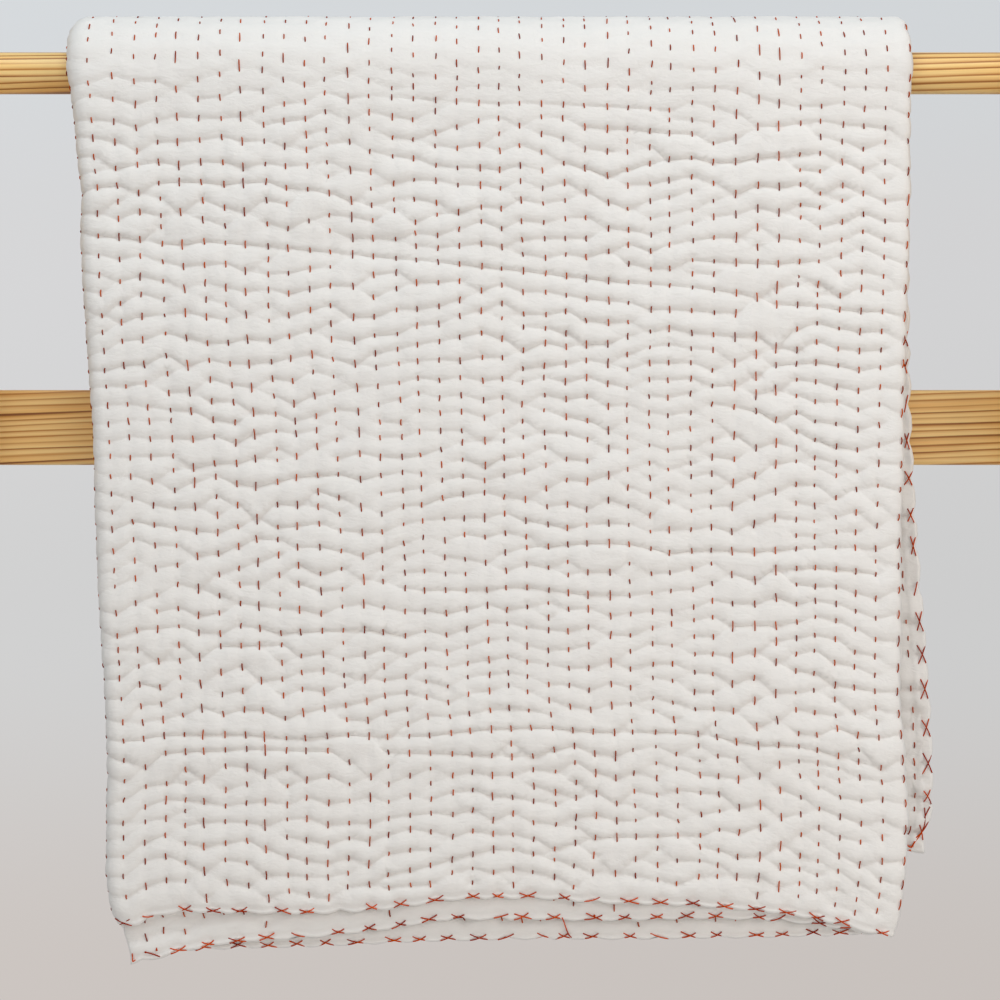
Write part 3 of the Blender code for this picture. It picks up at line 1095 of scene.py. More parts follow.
    def lift(self, side: ClothSide, u: float, v: Array, fine: bool) -> Array:
        """Work out how far one column stands off the cloth's middle.

        Args:
            side: The side of the cloth.
            u: Place of the column across the cloth.
            v: Places along the cloth.
            fine: Whether the column shows.

        Returns:
            The distance off the middle, always positive.
        """
        us = np.full_like(v, u)
        rounding = self.edge_rounding(us, v)
        hidden = self.hidden_lift - self.thin_hem * np.exp(-v / self.drape.kick_fade)
        if not fine:
            return hidden * rounding
        chart = self.charts[side]
        puff = chart.relief(u, v)
        flat, full = self.hem_fullness
        for away, hem, at, margin in (
            (v, self.front_hem, us, self.margin),
            (self.drape.hung_length - v, self.back_hem, us, self.margin),
            (us, self.side_hem, v, self.side_margin),
        ):
            near = ease(1.15 - away / margin)
            seam = 1 - self.seam_depth * np.exp(-(((away - self.seam_inset) / self.seam_reach) ** 2))
            puff = puff * (1 - near) + near * chart.puff * (flat + full * hem.lobe(at)) * seam
        puff = puff * self.looseness(us, v)
        if side is ClothSide.FACE:
            where, x, drop = self.drape.place(us, v)
            part, _ = self.drape.part_share(us)
            shown = (part == FoldPart.OUTER) & (where < 0)
            puff = puff + np.where(shown, crease_relief(FINE_RIDGES, x, drop, 1.4), 0.0)
            behind = (part == FoldPart.INNER) & (where > 0)
            fuller = np.where(behind, ease((drop - self.strip_start) / self.strip_start), 0.0)
            puff = puff * (1 + self.strip_fullness * fuller)
            start, run = self.strip_smooth
            smooth = np.where(part == FoldPart.INNER, ease((us - start * self.strip_width) / run), 0.0)
        else:
            smooth = 0.0
        raised = self.base + np.maximum(puff, self.deepest)
        return (raised * (1 - smooth) + hidden * smooth) * rounding

    def surface(self, side: ClothSide, u: float, v: Array, fine: bool = True) -> Array:
        """Place points of one column in space.

        Args:
            side: The side of the cloth.
            u: Place of the column across the cloth.
            v: Places along the cloth.
            fine: Whether the column shows.

        Returns:
            One row of x, y and z for each point.
        """
        us = np.full_like(v, u)
        lift = self.lift(side, u, v, fine) * side.value
        shown, drawn_up = (1.0, self.drawn_up) if fine else (0.0, self.hidden_drawn_up)
        hem_drop = sum(
            (shown * hem.bulge(us) - drawn_up) * np.exp(-away / self.scallop_reach)
            for hem, away in ((self.front_hem, v), (self.back_hem, self.drape.hung_length - v))
        )
        points = self.drape.points(us, v, lift, hem_drop)
        points[:, 0] += self.side_hem.bulge(v) * np.exp(-us / self.scallop_reach)
        return points

    @staticmethod
    def bridge(faces: Faces, one: Array, one_keys: Array, other: Array, other_keys: Array) -> None:
        """Join two lines of points whose points don't match, with triangles.

        Args:
            faces: Faces so far, which the new ones are added to.
            one: Point numbers of the first line.
            one_keys: Their rising places along it.
            other: Point numbers of the second line.
            other_keys: Their rising places along it.
        """
        i = j = 0
        while i < len(one) - 1 or j < len(other) - 1:
            if j == len(other) - 1 or (i < len(one) - 1 and one_keys[i + 1] <= other_keys[j + 1]):
                faces.append((int(one[i]), int(other[j]), int(one[i + 1])))
                i += 1
            else:
                faces.append((int(one[i]), int(other[j]), int(other[j + 1])))
                j += 1

    def build(self) -> bpy.types.Object:
        """Build the mesh.

        Returns:
            The quilt's object, with the flat cloth as its UV map.
        """
        places = [self.column_places(column) for column in self.columns]
        laid = list(zip(self.columns, places))
        lifts = [self.lift(column.side, column.u, v, column.fine) for column, v in laid]
        points = [self.surface(column.side, column.u, v, column.fine) for column, v in laid]
        flat = [np.column_stack((np.full_like(v, column.u), v)) for column, v in laid]
        ends = np.cumsum([0] + [len(v) for v in places])
        numbers = [np.arange(start, end) for start, end in zip(ends, ends[1:])]
        faces: Faces = []
        ring = list(range(len(self.columns))) + [0]
        for a, b in zip(ring, ring[1:]):
            one, other = numbers[a], numbers[b]
            if self.columns[a].rows == self.columns[b].rows:
                faces.extend(self.weave(one, other, lifts[a], lifts[b]))
            else:
                self.bridge(faces, one, places[a], other, places[b])
        self.close_ends(faces, numbers)
        mesh = bpy.data.meshes.new("quilt_cloth")
        mesh.from_pydata(np.concatenate(points).tolist(), [], faces)
        corners = np.empty(len(mesh.loops), dtype=np.int32)
        mesh.loops.foreach_get("vertex_index", corners)
        layer = mesh.uv_layers.new(name="flat_cloth")
        layer.data.foreach_set("uv", np.concatenate(flat)[corners].astype(np.float32).ravel())
        point_outwards(mesh)
        mesh.shade_smooth()
        return put_in_scene("quilt_cloth", mesh)

    @staticmethod
    def weave(one: Array, other: Array, one_lift: Array, other_lift: Array) -> Faces:
        """Join two matching columns with triangles whose diagonals follow the troughs.

        Args:
            one: Point numbers of the first column.
            other: Point numbers of the second.
            one_lift: How far the first column's points stand out.
            other_lift: How far the second's do.

        Returns:
            The triangles.
        """
        a, b, c, d = one[:-1], other[:-1], other[1:], one[1:]
        rising = one_lift[:-1] + other_lift[1:] < other_lift[:-1] + one_lift[1:]
        first = np.where(rising[:, None], np.column_stack((a, b, c)), np.column_stack((a, b, d)))
        second = np.where(rising[:, None], np.column_stack((a, c, d)), np.column_stack((b, c, d)))
        return list(map(tuple, np.concatenate((first, second)).tolist()))

    def close_ends(self, faces: Faces, numbers: list[Array]) -> None:
        """Close the cloth along its front and back hems.

        Args:
            faces: Faces so far, which the new ones are added to.
            numbers: Point numbers of each column.
        """
        face, reverse = (
            [i for i, column in enumerate(self.columns) if column.side is side] for side in ClothSide
        )
        for end in (0, -1):
            lines = [
                (np.array([numbers[i][end] for i in side]), np.array([self.columns[i].u for i in side]))
                for side in (face, reverse[::-1])
            ]
            self.bridge(faces, *lines[0], *lines[1])


def point_outwards(mesh: bpy.types.Mesh) -> None:
    """Turn every face of a closed mesh outwards.

    Args:
        mesh: The mesh.
    """
    shape = bmesh.new()
    shape.from_mesh(mesh)
    bmesh.ops.recalc_face_normals(shape, faces=shape.faces)
    shape.to_mesh(mesh)
    shape.free()


def put_in_scene(name: str, data: bpy.types.ID) -> bpy.types.Object:
    """Make an object of a mesh, curve, light or camera, and put it in the scene.

    Args:
        name: The object's name.
        data: What it shows.

    Returns:
        The object.
    """
    thing = bpy.data.objects.new(name, data)
    bpy.context.scene.collection.objects.link(thing)
    return thing


def plain_mesh(carrier: bpy.types.Object, name: str) -> bpy.types.Mesh:
    """Turn an object's finished shape into a plain mesh, and take the object away.

    Args:
        carrier: The object, with its modifiers.
        name: The mesh's name.

    Returns:
        The mesh.
    """
    graph = bpy.context.evaluated_depsgraph_get()
    graph.update()
    mesh = bpy.data.meshes.new_from_object(carrier.evaluated_get(graph))
    mesh.name = name
    carrier.modifiers.clear()
    bpy.data.objects.remove(carrier)
    return mesh


class NodeBench:
    """Adds nodes to a tree. A node given as an input stands for its first output."""

    def __init__(self, tree: bpy.types.NodeTree) -> None:
        """Keep the tree."""
        self.tree = tree

    def feed(self, node: bpy.types.Node, inputs: Inputs) -> None:
        """Set or join a node's inputs.

        Args:
            node: The node.
            inputs: What goes into each input: a value, a socket or a node. A colour is made solid.
        """
        for key, value in inputs.items():
            socket = node.inputs[key]
            if isinstance(value, bpy.types.Node):
                value = next(output for output in value.outputs if output.enabled)
            if isinstance(value, bpy.types.NodeSocket):
                self.tree.links.new(value, socket)
            else:
                socket.default_value = (*value, 1.0) if socket.type == "RGBA" else value

    def add(self, kind: str, inputs: Inputs | None = None, **settings: object) -> bpy.types.Node:
        """Add a node.

        Args:
            kind: Its type.
            inputs: What goes into its inputs.
            settings: Its own settings.

        Returns:
            The node.
        """
        node = self.tree.nodes.new(kind)
        for name, setting in settings.items():
            setattr(node, name, setting)
        self.feed(node, inputs or {})
        return node

    def work_out(self, operation: str, *values: Input) -> bpy.types.Node:
        """Work out a result from nodes, sockets and numbers."""
        return self.add("ShaderNodeMath", dict(enumerate(values)), operation=operation)

    def ramp(self, share: Input, stops: Sequence[Stop], kind: str = "LINEAR") -> bpy.types.Node:
        """Add a colour ramp.

        Args:
            share: The place along it.
            stops: Its places and their colours.
            kind: How it runs between them.

        Returns:
            The ramp.
        """
        node = self.add("ShaderNodeValToRGB", {"Fac": share})
        node.color_ramp.interpolation = kind
        for place, _ in stops[1:-1]:
            node.color_ramp.elements.new(place)
        for element, (place, colour) in zip(node.color_ramp.elements, stops):
            element.position = place
            element.color = (*colour, 1.0)
        return node


class Thread(NamedTuple):
    """One straight run of thread on the cloth: its two ends and the cloth's way out."""

    start: Vector
    end: Vector
    out: Vector


THREAD_INPUTS = (
    ("Thread Radius", "Float"), ("Rise", "Float"), ("Sink", "Float"),
    ("Sides", "Int"), ("Bends", "Int"), ("Material", "Material"),
)


@dataclass
class ThreadTree:
    """Geometry nodes that lay one arched length of thread on each point."""

    radius: float
    rise: float
    sink: float
    sides: int = 5
    bends: int = 5
    run_name: str = "run"
    turn_name: str = "turn"

    def build(self, name: str) -> bpy.types.NodeTree:
        """Build the tree.

        Args:
            name: The tree's name.

        Returns:
            The tree, with its sizes as named inputs.
        """
        tree = bpy.data.node_groups.new(name, "GeometryNodeTree")
        for label, kind in (("Geometry", "Geometry"), *THREAD_INPUTS):
            tree.interface.new_socket(label, in_out="INPUT", socket_type="NodeSocket" + kind)
        tree.interface.new_socket("Geometry", in_out="OUTPUT", socket_type="NodeSocketGeometry")
        bench = NodeBench(tree)
        given = bench.add("NodeGroupInput").outputs
        line = {"Start": (-0.5, 0.0, 0.0), "End": (0.5, 0.0, 0.0)}
        line = bench.add("GeometryNodeCurvePrimitiveLine", line)
        bent = bench.add("GeometryNodeResampleCurve", {"Curve": line, "Count": given["Bends"]})
        arched = bench.add("GeometryNodeSetPosition", {"Geometry": bent, "Offset": self.arch(bench, given)})
        ring = {"Resolution": given["Sides"], "Radius": given["Thread Radius"]}
        ring = bench.add("GeometryNodeCurvePrimitiveCircle", ring)
        tube = {"Curve": arched, "Profile Curve": ring, "Fill Caps": True}
        tube = bench.add("GeometryNodeCurveToMesh", tube)
        turn, run = (
            bench.add("GeometryNodeInputNamedAttribute", {"Name": attribute}, data_type=kind)
            for attribute, kind in ((self.turn_name, "FLOAT_VECTOR"), (self.run_name, "FLOAT"))
        )
        turned = bench.add("FunctionNodeEulerToRotation", {"Euler": turn.outputs["Attribute"]})
        stretch = bench.add("ShaderNodeCombineXYZ", {"X": run.outputs["Attribute"], "Y": 1.0, "Z": 1.0})
        laid = {"Points": given["Geometry"], "Instance": tube, "Rotation": turned, "Scale": stretch}
        laid = bench.add("GeometryNodeInstanceOnPoints", laid)
        real = bench.add("GeometryNodeRealizeInstances", {"Geometry": laid})
        smooth = bench.add("GeometryNodeSetShadeSmooth", {"Geometry": real})
        dressed = {"Geometry": smooth, "Material": given["Material"]}
        bench.add("NodeGroupOutput", {"Geometry": bench.add("GeometryNodeSetMaterial", dressed)})
        return tree

    @staticmethod
    def arch(bench: NodeBench, given: bpy.types.NodeOutputs) -> bpy.types.Node:
        """Add the nodes that bow a thread up in its middle and sink its ends.

        Args:
            bench: The tree's bench.
            given: The tree's inputs.

        Returns:
            The offset.
        """
        parts = bench.add("ShaderNodeSeparateXYZ", {"Vector": bench.add("GeometryNodeInputPosition")})
        twice = bench.work_out("MULTIPLY", parts.outputs["X"], 2.0)
        squared = bench.work_out("MULTIPLY", twice, twice)
        fall = bench.work_out("ADD", given["Rise"], given["Sink"])
        height = bench.work_out("SUBTRACT", given["Rise"], bench.work_out("MULTIPLY", squared, fall))
        return bench.add("ShaderNodeCombineXYZ", {"Z": height})

    def lay(self, name: str, threads: Sequence[Thread], material: bpy.types.Material) -> bpy.types.Object:
        """Lay threads and turn the result into a plain mesh.

        Args:
            name: Name of the piece.
            threads: Where the threads run.
            material: Their material.

        Returns:
            The piece.
        """
        mesh = bpy.data.meshes.new(name + "_points")
        mesh.from_pydata([(thread.start + thread.end) / 2 for thread in threads], [], [])
        runs = mesh.attributes.new(self.run_name, "FLOAT", "POINT")
        turns = mesh.attributes.new(self.turn_name, "FLOAT_VECTOR", "POINT")
        for i, thread in enumerate(threads):
            along = thread.end - thread.start
            runs.data[i].value = along.length
            turns.data[i].vector = Vector(self.turn_of(along, thread.out))
        carrier = put_in_scene(name + "_points", mesh)
        modifier = carrier.modifiers.new("threads", "NODES")
        modifier.node_group = self.build(name + "_nodes")
        sizes = (self.radius, self.rise, self.sink, self.sides, self.bends, material)
        values = {label: size for (label, _), size in zip(THREAD_INPUTS, sizes)}
        for socket in modifier.node_group.interface.items_tree:
            if socket.in_out == "INPUT" and socket.name in values:
                modifier[socket.identifier] = values[socket.name]
        laid = plain_mesh(carrier, name)
        for attribute in (self.run_name, self.turn_name):
            if attribute in laid.attributes:
                laid.attributes.remove(laid.attributes[attribute])
        return put_in_scene(name, laid)

    @staticmethod
    def turn_of(along: Vector, out: Vector) -> Triple:
        """Work out the turn, as XYZ angles, that lays a thread along a direction, arched outwards."""
        x_axis, y_axis = along.normalized(), out.cross(along.normalized()).normalized()
        return tuple(Matrix((x_axis, y_axis, x_axis.cross(y_axis))).transposed().to_euler("XYZ"))


@dataclass
class Stitching:
    """The rows of running stitch and the crossed hems."""

    quilt: QuiltMesh
    cloth: bpy.types.Object
    seed: int = 41
    thread_radius: float = 0.00064
    hem_radius: float = 0.00061
    tilt: float = 0.00022
    hem_inset: float = 0.0023
    side_inset: float = 0.0040
    plain_corner: float = 0.045
    seen_below: float = 0.125
    cross_length: float = 0.0150
    cross_height: float = 0.0052
    missing_share: float = 0.06
    slip: float = 0.0008
    crossing_gap: float = 0.0004
    turn_gap: float = 0.010
    turn_slack: float = 0.002
    length_spread: Place = (0.75, 1.15)
    height_spread: Place = (0.7, 1.25)
    arm_spreads: tuple[Place, Place] = ((0.8, 1.1), (0.8, 1.2))
    tree: BVHTree = field(init=False)
    rng: np.random.Generator = field(init=False)

    def __post_init__(self) -> None:
        """Ready the cloth's surface for laying thread on it."""
        self.tree = BVHTree.FromObject(self.cloth, bpy.context.evaluated_depsgraph_get())
        self.rng = np.random.default_rng(self.seed)

    def laid(self, guesses: Sequence[Sequence[float]]) -> Thread:
        """Lay one thread on the finished cloth, from points near its start, middle and end."""
        start, middle, end = (self.tree.find_nearest(Vector(guess))[:2] for guess in guesses)
        return Thread(start[0], end[0], (start[1] + end[1] + 2 * middle[1]).normalized())

    def between(self, side: ClothSide, start: Place, end: Place) -> Thread:
        """Lay one thread between two places of the flat cloth.

        Args:
            side: The side of the cloth.
            start: Place of the first end, across and along.
            end: Place of the other end.

        Returns:
            The thread.
        """
        start, end = ((max(u, self.crossing_gap), max(v, self.crossing_gap)) for u, v in (start, end))
        middle = ((start[0] + end[0]) / 2, (start[1] + end[1]) / 2)
        return self.laid([self.quilt.surface(side, u, np.array([v]))[0] for u, v in (start, middle, end)])

    def running(self, side: ClothSide, shown: Callable[[float, float], bool]) -> list[Thread]:
        """Lay the running stitches of one side where they show.

        Args:
            side: The side of the cloth.
            shown: Tells whether a stitch at a place across and along the cloth is laid.

        Returns:
            The threads.
        """
        threads = []
        for u, row in zip(self.quilt.charts[side].rows, self.quilt.charts[side].stitches):
            seen = np.array([(stitch.v, stitch.length / 2) for stitch in row if shown(u, stitch.v)])
            if not len(seen):
                continue
            middle, half = seen.T
            places = np.concatenate((middle - half, middle, middle + half))
            for guess in self.quilt.surface(side, float(u), places).reshape(3, -1, 3).swapaxes(0, 1):
                start, end, out = self.laid(guess)
                across = out.cross(end - start).normalized()
                lean = self.rng.normal(0.0, self.tilt)
                shift = self.rng.normal(0.0, self.tilt)
                threads.append(Thread(start + across * (shift - lean), end + across * (shift + lean), out))
        return threads

    def crosses(self, side: ClothSide, places: Sequence[Place], along_side: bool = False) -> list[Thread]:
        """Lay crossed stitches along a hem.

        Args:
            side: The side of the cloth.
            places: Middles of the crosses, across and along the cloth.
            along_side: Whether the hem is a side hem.

        Returns:
            The threads, two for most crosses.
        """
        threads = []
        for u, v in places:
            length = self.cross_length * self.rng.uniform(*self.length_spread) / 2
            height = self.cross_height * self.rng.uniform(*self.height_spread) / 2
            for way in (1, -1):
                if self.rng.random() < self.missing_share:
                    continue
                a = length * self.rng.uniform(*self.arm_spreads[0])
                b = height * self.rng.uniform(*self.arm_spreads[1]) * way
                slip = self.rng.normal(0.0, self.slip)
                if along_side:
                    ends = ((u - b, v + slip - a), (u + b, v + slip + a))
                else:
                    ends = ((u + slip - a, v - b), (u + slip + a, v + b))
                start, end, out = self.between(side, *ends)
                lift = out * (self.crossing_gap if way > 0 else 3 * self.crossing_gap)
                threads.append(Thread(start + lift, end + lift, out))
        return threads

    def on_outer(self, u: float) -> bool:
        """Tell whether a row is on the outer layer or a turn."""
        return self.quilt.drape.inner_end - self.turn_slack < u < self.quilt.drape.flap_start

    def front_rows(self) -> list[Thread]:
        """Lay the running stitches that show in front and over the rail.

        Returns:
            The threads.
        """
        drape, band = self.quilt.drape, self.quilt.hem_band
        outer = self.running(ClothSide.FACE, lambda u, v: self.on_outer(u) and v < drape.rail_top)
        return outer + self.running(
            ClothSide.REVERSE, lambda u, v: v < band and not drape.inner_end <= u <= drape.flap_start
        )

    def back_rows(self) -> list[Thread]:
        """Lay the running stitches that show behind.

        Returns:
            The threads.
        """
        quilt, drape = self.quilt, self.quilt.drape
        low = drape.hung_length - quilt.hem_band
        shown = (
            (ClothSide.FACE, lambda u, v: self.on_outer(u) and v >= drape.rail_top),
            (ClothSide.FACE, lambda u, v: u < quilt.strip_width and v > drape.back_start),
            (ClothSide.REVERSE, lambda u, v: u < drape.inner_end and v > low),
            (ClothSide.FACE, lambda u, v: u < drape.inner_end and v < self.seen_below),
        )
        return [thread for side, where in shown for thread in self.running(side, where)]

    def hem_crosses(self) -> list[Thread]:
        """Lay the crossed stitches along the hems that show.

        Returns:
            The threads.
        """
        quilt, drape = self.quilt, self.quilt.drape
        face, reverse = ClothSide.FACE, ClothSide.REVERSE
        inner_end, outer_start = drape.inner_end - self.turn_gap, drape.inner_end + self.turn_gap
        flap_start, flap_end = drape.flap_start + self.turn_gap, drape.flat_width - self.plain_corner
        low = drape.hung_length - self.hem_inset
        front, back = quilt.front_hem.places, quilt.back_hem.places
        side = [(self.side_inset, v) for v in quilt.side_hem.places if v > drape.back_start]
        outer = [(u, self.hem_inset) for u in front if outer_start < u < drape.flap_start]
        inner = [(u, self.hem_inset) for u in front if u < inner_end]
        flap = [(u, self.hem_inset) for u in front if flap_start < u < flap_end]
        threads = self.crosses(face, outer) + self.crosses(reverse, inner + flap)
        threads += self.crosses(face, [(u, low) for u in back if outer_start < u < drape.flap_start])
        threads += self.crosses(reverse, [(u, low) for u in back if u < inner_end])
        threads += self.crosses(face, side, True) + self.crosses(reverse, side, True)
        return threads + self.crosses(face, inner)


class LooseThread(NamedTuple):
    """A thread lying free on the cloth: points as seen, across and below the rail, and its knots."""

    points: tuple[Place, ...]
    knots: tuple[int, ...] = ()
    behind: bool = False


LOOSE_THREADS = (
    LooseThread(((-334, 803), (-334, 806), (-332, 808), (-328, 808))),
    LooseThread(((-319, 798), (-313, 799), (-306, 802)), knots=(0,)),
    LooseThread(((-309, 794), (-309, 796)), knots=(1,)),
    LooseThread(((56, 767), (59, 773), (60, 782), (62, 790))),
    LooseThread(((85, 765), (86, 767)), knots=(0,)),
    LooseThread(((387, 667), (384, 672), (382, 677)), behind=True),
    LooseThread(((382, 668), (383, 677), (382, 686), (378, 693), (373, 699), (370, 704)), behind=True),
    LooseThread(((367, 702), (370, 706), (372, 709)), behind=True),
    LooseThread(((372, 702), (369, 706), (367, 707)), knots=(1,), behind=True),
)


@dataclass
class LooseThreads:
    """Thread ends that lie free on the hems, with their knots."""

    cloth: bpy.types.Object
    rail_z: float
    between: float
    radius: float = 0.00055
    knot_radius: float = 0.0011
    knot_shape: Triple = (1.0, 0.7, 0.9)
    rise: float = 0.0005

    def on_cloth(self, tree: BVHTree, x: float, drop: float, behind: bool) -> Vector:
        """Find the place that shows behind a point of the front, just off the cloth.

        Args:
            tree: The cloth's surface.
            x: Place across.
            drop: Drop below the rail's axis.
            behind: Whether it lies on the back drop.

        Returns:
            The place.
        """
        seen = Vector((x, SEEN_FRONT, self.rail_z - drop))
        way = (seen - STUDIO_EYE) / (seen.y - STUDIO_EYE.y)
        start = seen + way * (self.between - seen.y) if behind else STUDIO_EYE
        hit = tree.ray_cast(start, way.normalized())[0]
        if hit is None:
            hit = tree.find_nearest(start if behind else seen)[0]
        return hit - Vector((0.0, self.rise, 0.0))

    def build(self, material: bpy.types.Material) -> bpy.types.Object:
        """Build all the loose threads as one piece.

        Args:
            material: The thread's material.

        Returns:
            The piece.
        """
        tree = BVHTree.FromObject(self.cloth, bpy.context.evaluated_depsgraph_get())
        curve = bpy.data.curves.new("loose_threads_path", "CURVE")
        curve.dimensions = "3D"
        curve.bevel_depth = self.radius
        curve.bevel_resolution = 2
        curve.use_fill_caps = True
        knots = []
        for points, knotted, behind in LOOSE_THREADS:
            places = [self.on_cloth(tree, x * MILLIMETRE, drop * MILLIMETRE, behind) for x, drop in points]
            spline = curve.splines.new("NURBS")
            spline.points.add(len(places) - 1)
            for point, place in zip(spline.points, places):
                point.co = (*place, 1.0)
            spline.order_u = min(4, len(places))
            spline.use_endpoint_u = True
            spline.resolution_u = 6
            knots += [places[index] for index in knotted]
        mesh = plain_mesh(put_in_scene("loose_threads_path", curve), "loose_threads")
        shape = bmesh.new()
        shape.from_mesh(mesh)
        bmesh.ops.remove_doubles(shape, verts=shape.verts, dist=1e-5)
        squash = Matrix.Diagonal((*self.knot_shape, 1.0))
        for place in knots:
            turned = Matrix.Translation(place) @ squash
            bmesh.ops.create_icosphere(shape, subdivisions=2, radius=self.knot_radius, matrix=turned)
        shape.to_mesh(mesh)
        shape.free()
        point_outwards(mesh)
        mesh.shade_smooth()
        mesh.materials.clear()
        mesh.materials.append(material)
        return put_in_scene("loose_threads", mesh)


class MaterialBench(NodeBench):
    """The bench of a new material."""

    def __init__(self, name: str) -> None:
        """Start the material, with its shader alone.

        Args:
            name: The material's name.
        """
        self.material = bpy.data.materials.new(name)
        self.material.use_nodes = True
        super().__init__(self.material.node_tree)

    def finished(self, inputs: Inputs) -> bpy.types.Material:
        """Set or join the shader's inputs, and hand the material over."""
        self.feed(self.tree.nodes["Principled BSDF"], inputs)
        return self.material

    def scaled(self, place: Input, scale: Triple) -> bpy.types.Node:
        """Add coordinates scaled from others."""
        return self.add("ShaderNodeMapping", {"Vector": place, "Scale": scale})

    def noise(self, place: Input, scale: float, detail: float, **inputs: float) -> bpy.types.Node:
        """Add noise on given coordinates."""
        return self.add("ShaderNodeTexNoise", {"Vector": place, "Scale": scale, "Detail": detail, **inputs})

    def bump(self, height: Input, depth: float, under: Inputs, strength: float = 1.0) -> bpy.types.Node:
        """Add a bump of a real depth, over another one where there is one."""
        inputs = {"Height": height, "Distance": depth, "Strength": strength}
        return self.add("ShaderNodeBump", {**inputs, **under})

    def blend(self, share: Input, first: Input, second: Input, kind: str = "MIX") -> bpy.types.Node:
        """Add a blend of two colours, with the second one's share."""
        inputs = {"Factor": share, "A": first, "B": second}
        return self.add("ShaderNodeMix", inputs, data_type="RGBA", blend_type=kind)


@dataclass(frozen=True)
class CottonFinish:
    """White quilting cotton: a fine weave, soft crumples and a slight sheen."""

    colour: Colour = (0.855, 0.825, 0.79)
    shade: Colour = (0.825, 0.795, 0.757)
    roughness: float = 0.88
    weave_pitch: float = 0.00055
    weave_depth: float = 0.00004
    crumple_size: float = 0.016
    crumple_depth: float = 0.0008
    wrinkle_size: float = 0.0045
    wrinkle_depth: float = 0.00025
    tone_scale: float = 14.0
    tone_stretch: Triple = (1.0, 1.9, 1.0)
    sheen: float = 0.15

    def build(self) -> bpy.types.Material:
        """Build the material, on the flat cloth's UV map.

        Returns:
            The material.
        """
        bench = MaterialBench("quilting_cotton")
        flat = bench.add("ShaderNodeUVMap", uv_map="flat_cloth")
        stretched = bench.scaled(flat, self.tone_stretch)
        normal: Inputs = {}
        for size, depth, detail in (
            (self.crumple_size, self.crumple_depth, 4.0),
            (self.wrinkle_size, self.wrinkle_depth, 3.0),
        ):
            crumples = bench.noise(stretched, 1.0 / size, detail, Roughness=0.55, Distortion=0.6)
            normal = {"Normal": bench.bump(crumples, depth, normal)}
        weave = {"Vector": flat, "Scale": math.pi / (10.0 * self.weave_pitch), "Distortion": 0.4}
        for way in ("X", "Y"):
            threads = bench.add("ShaderNodeTexWave", weave, wave_type="BANDS", bands_direction=way)
            normal = {"Normal": bench.bump(threads.outputs["Fac"], self.weave_depth, normal)}
        return bench.finished({
            "Base Color": bench.blend(bench.noise(stretched, self.tone_scale, 3.0), self.colour, self.shade),
            "Roughness": self.roughness,
            "Specular IOR Level": 0.25,
            "Sheen Weight": self.sheen,
            "Sheen Roughness": 0.5,
            **normal,
        })


@dataclass(frozen=True)
class ThreadFinish:
    """Rust-coloured cotton thread, darker and brighter from place to place."""

    name: str
    dark: Colour
    bright: Colour
    patch: float = 0.02
    patch_edges: Place = (0.36, 0.64)

    def build(self) -> bpy.types.Material:
        """Build the material, on the piece's object coordinates.

        Returns:
            The material.
        """
        bench = MaterialBench(self.name)
        noise = bench.noise(bench.add("ShaderNodeTexCoord").outputs["Object"], 1.0 / self.patch, 1.0)
        low, high = self.patch_edges
        spread = bench.add("ShaderNodeMapRange", {"Value": noise, "From Min": low, "From Max": high})
        colour = bench.blend(spread, self.dark, self.bright)
        return bench.finished({"Base Color": colour, "Roughness": 0.8, "Specular IOR Level": 0.12})


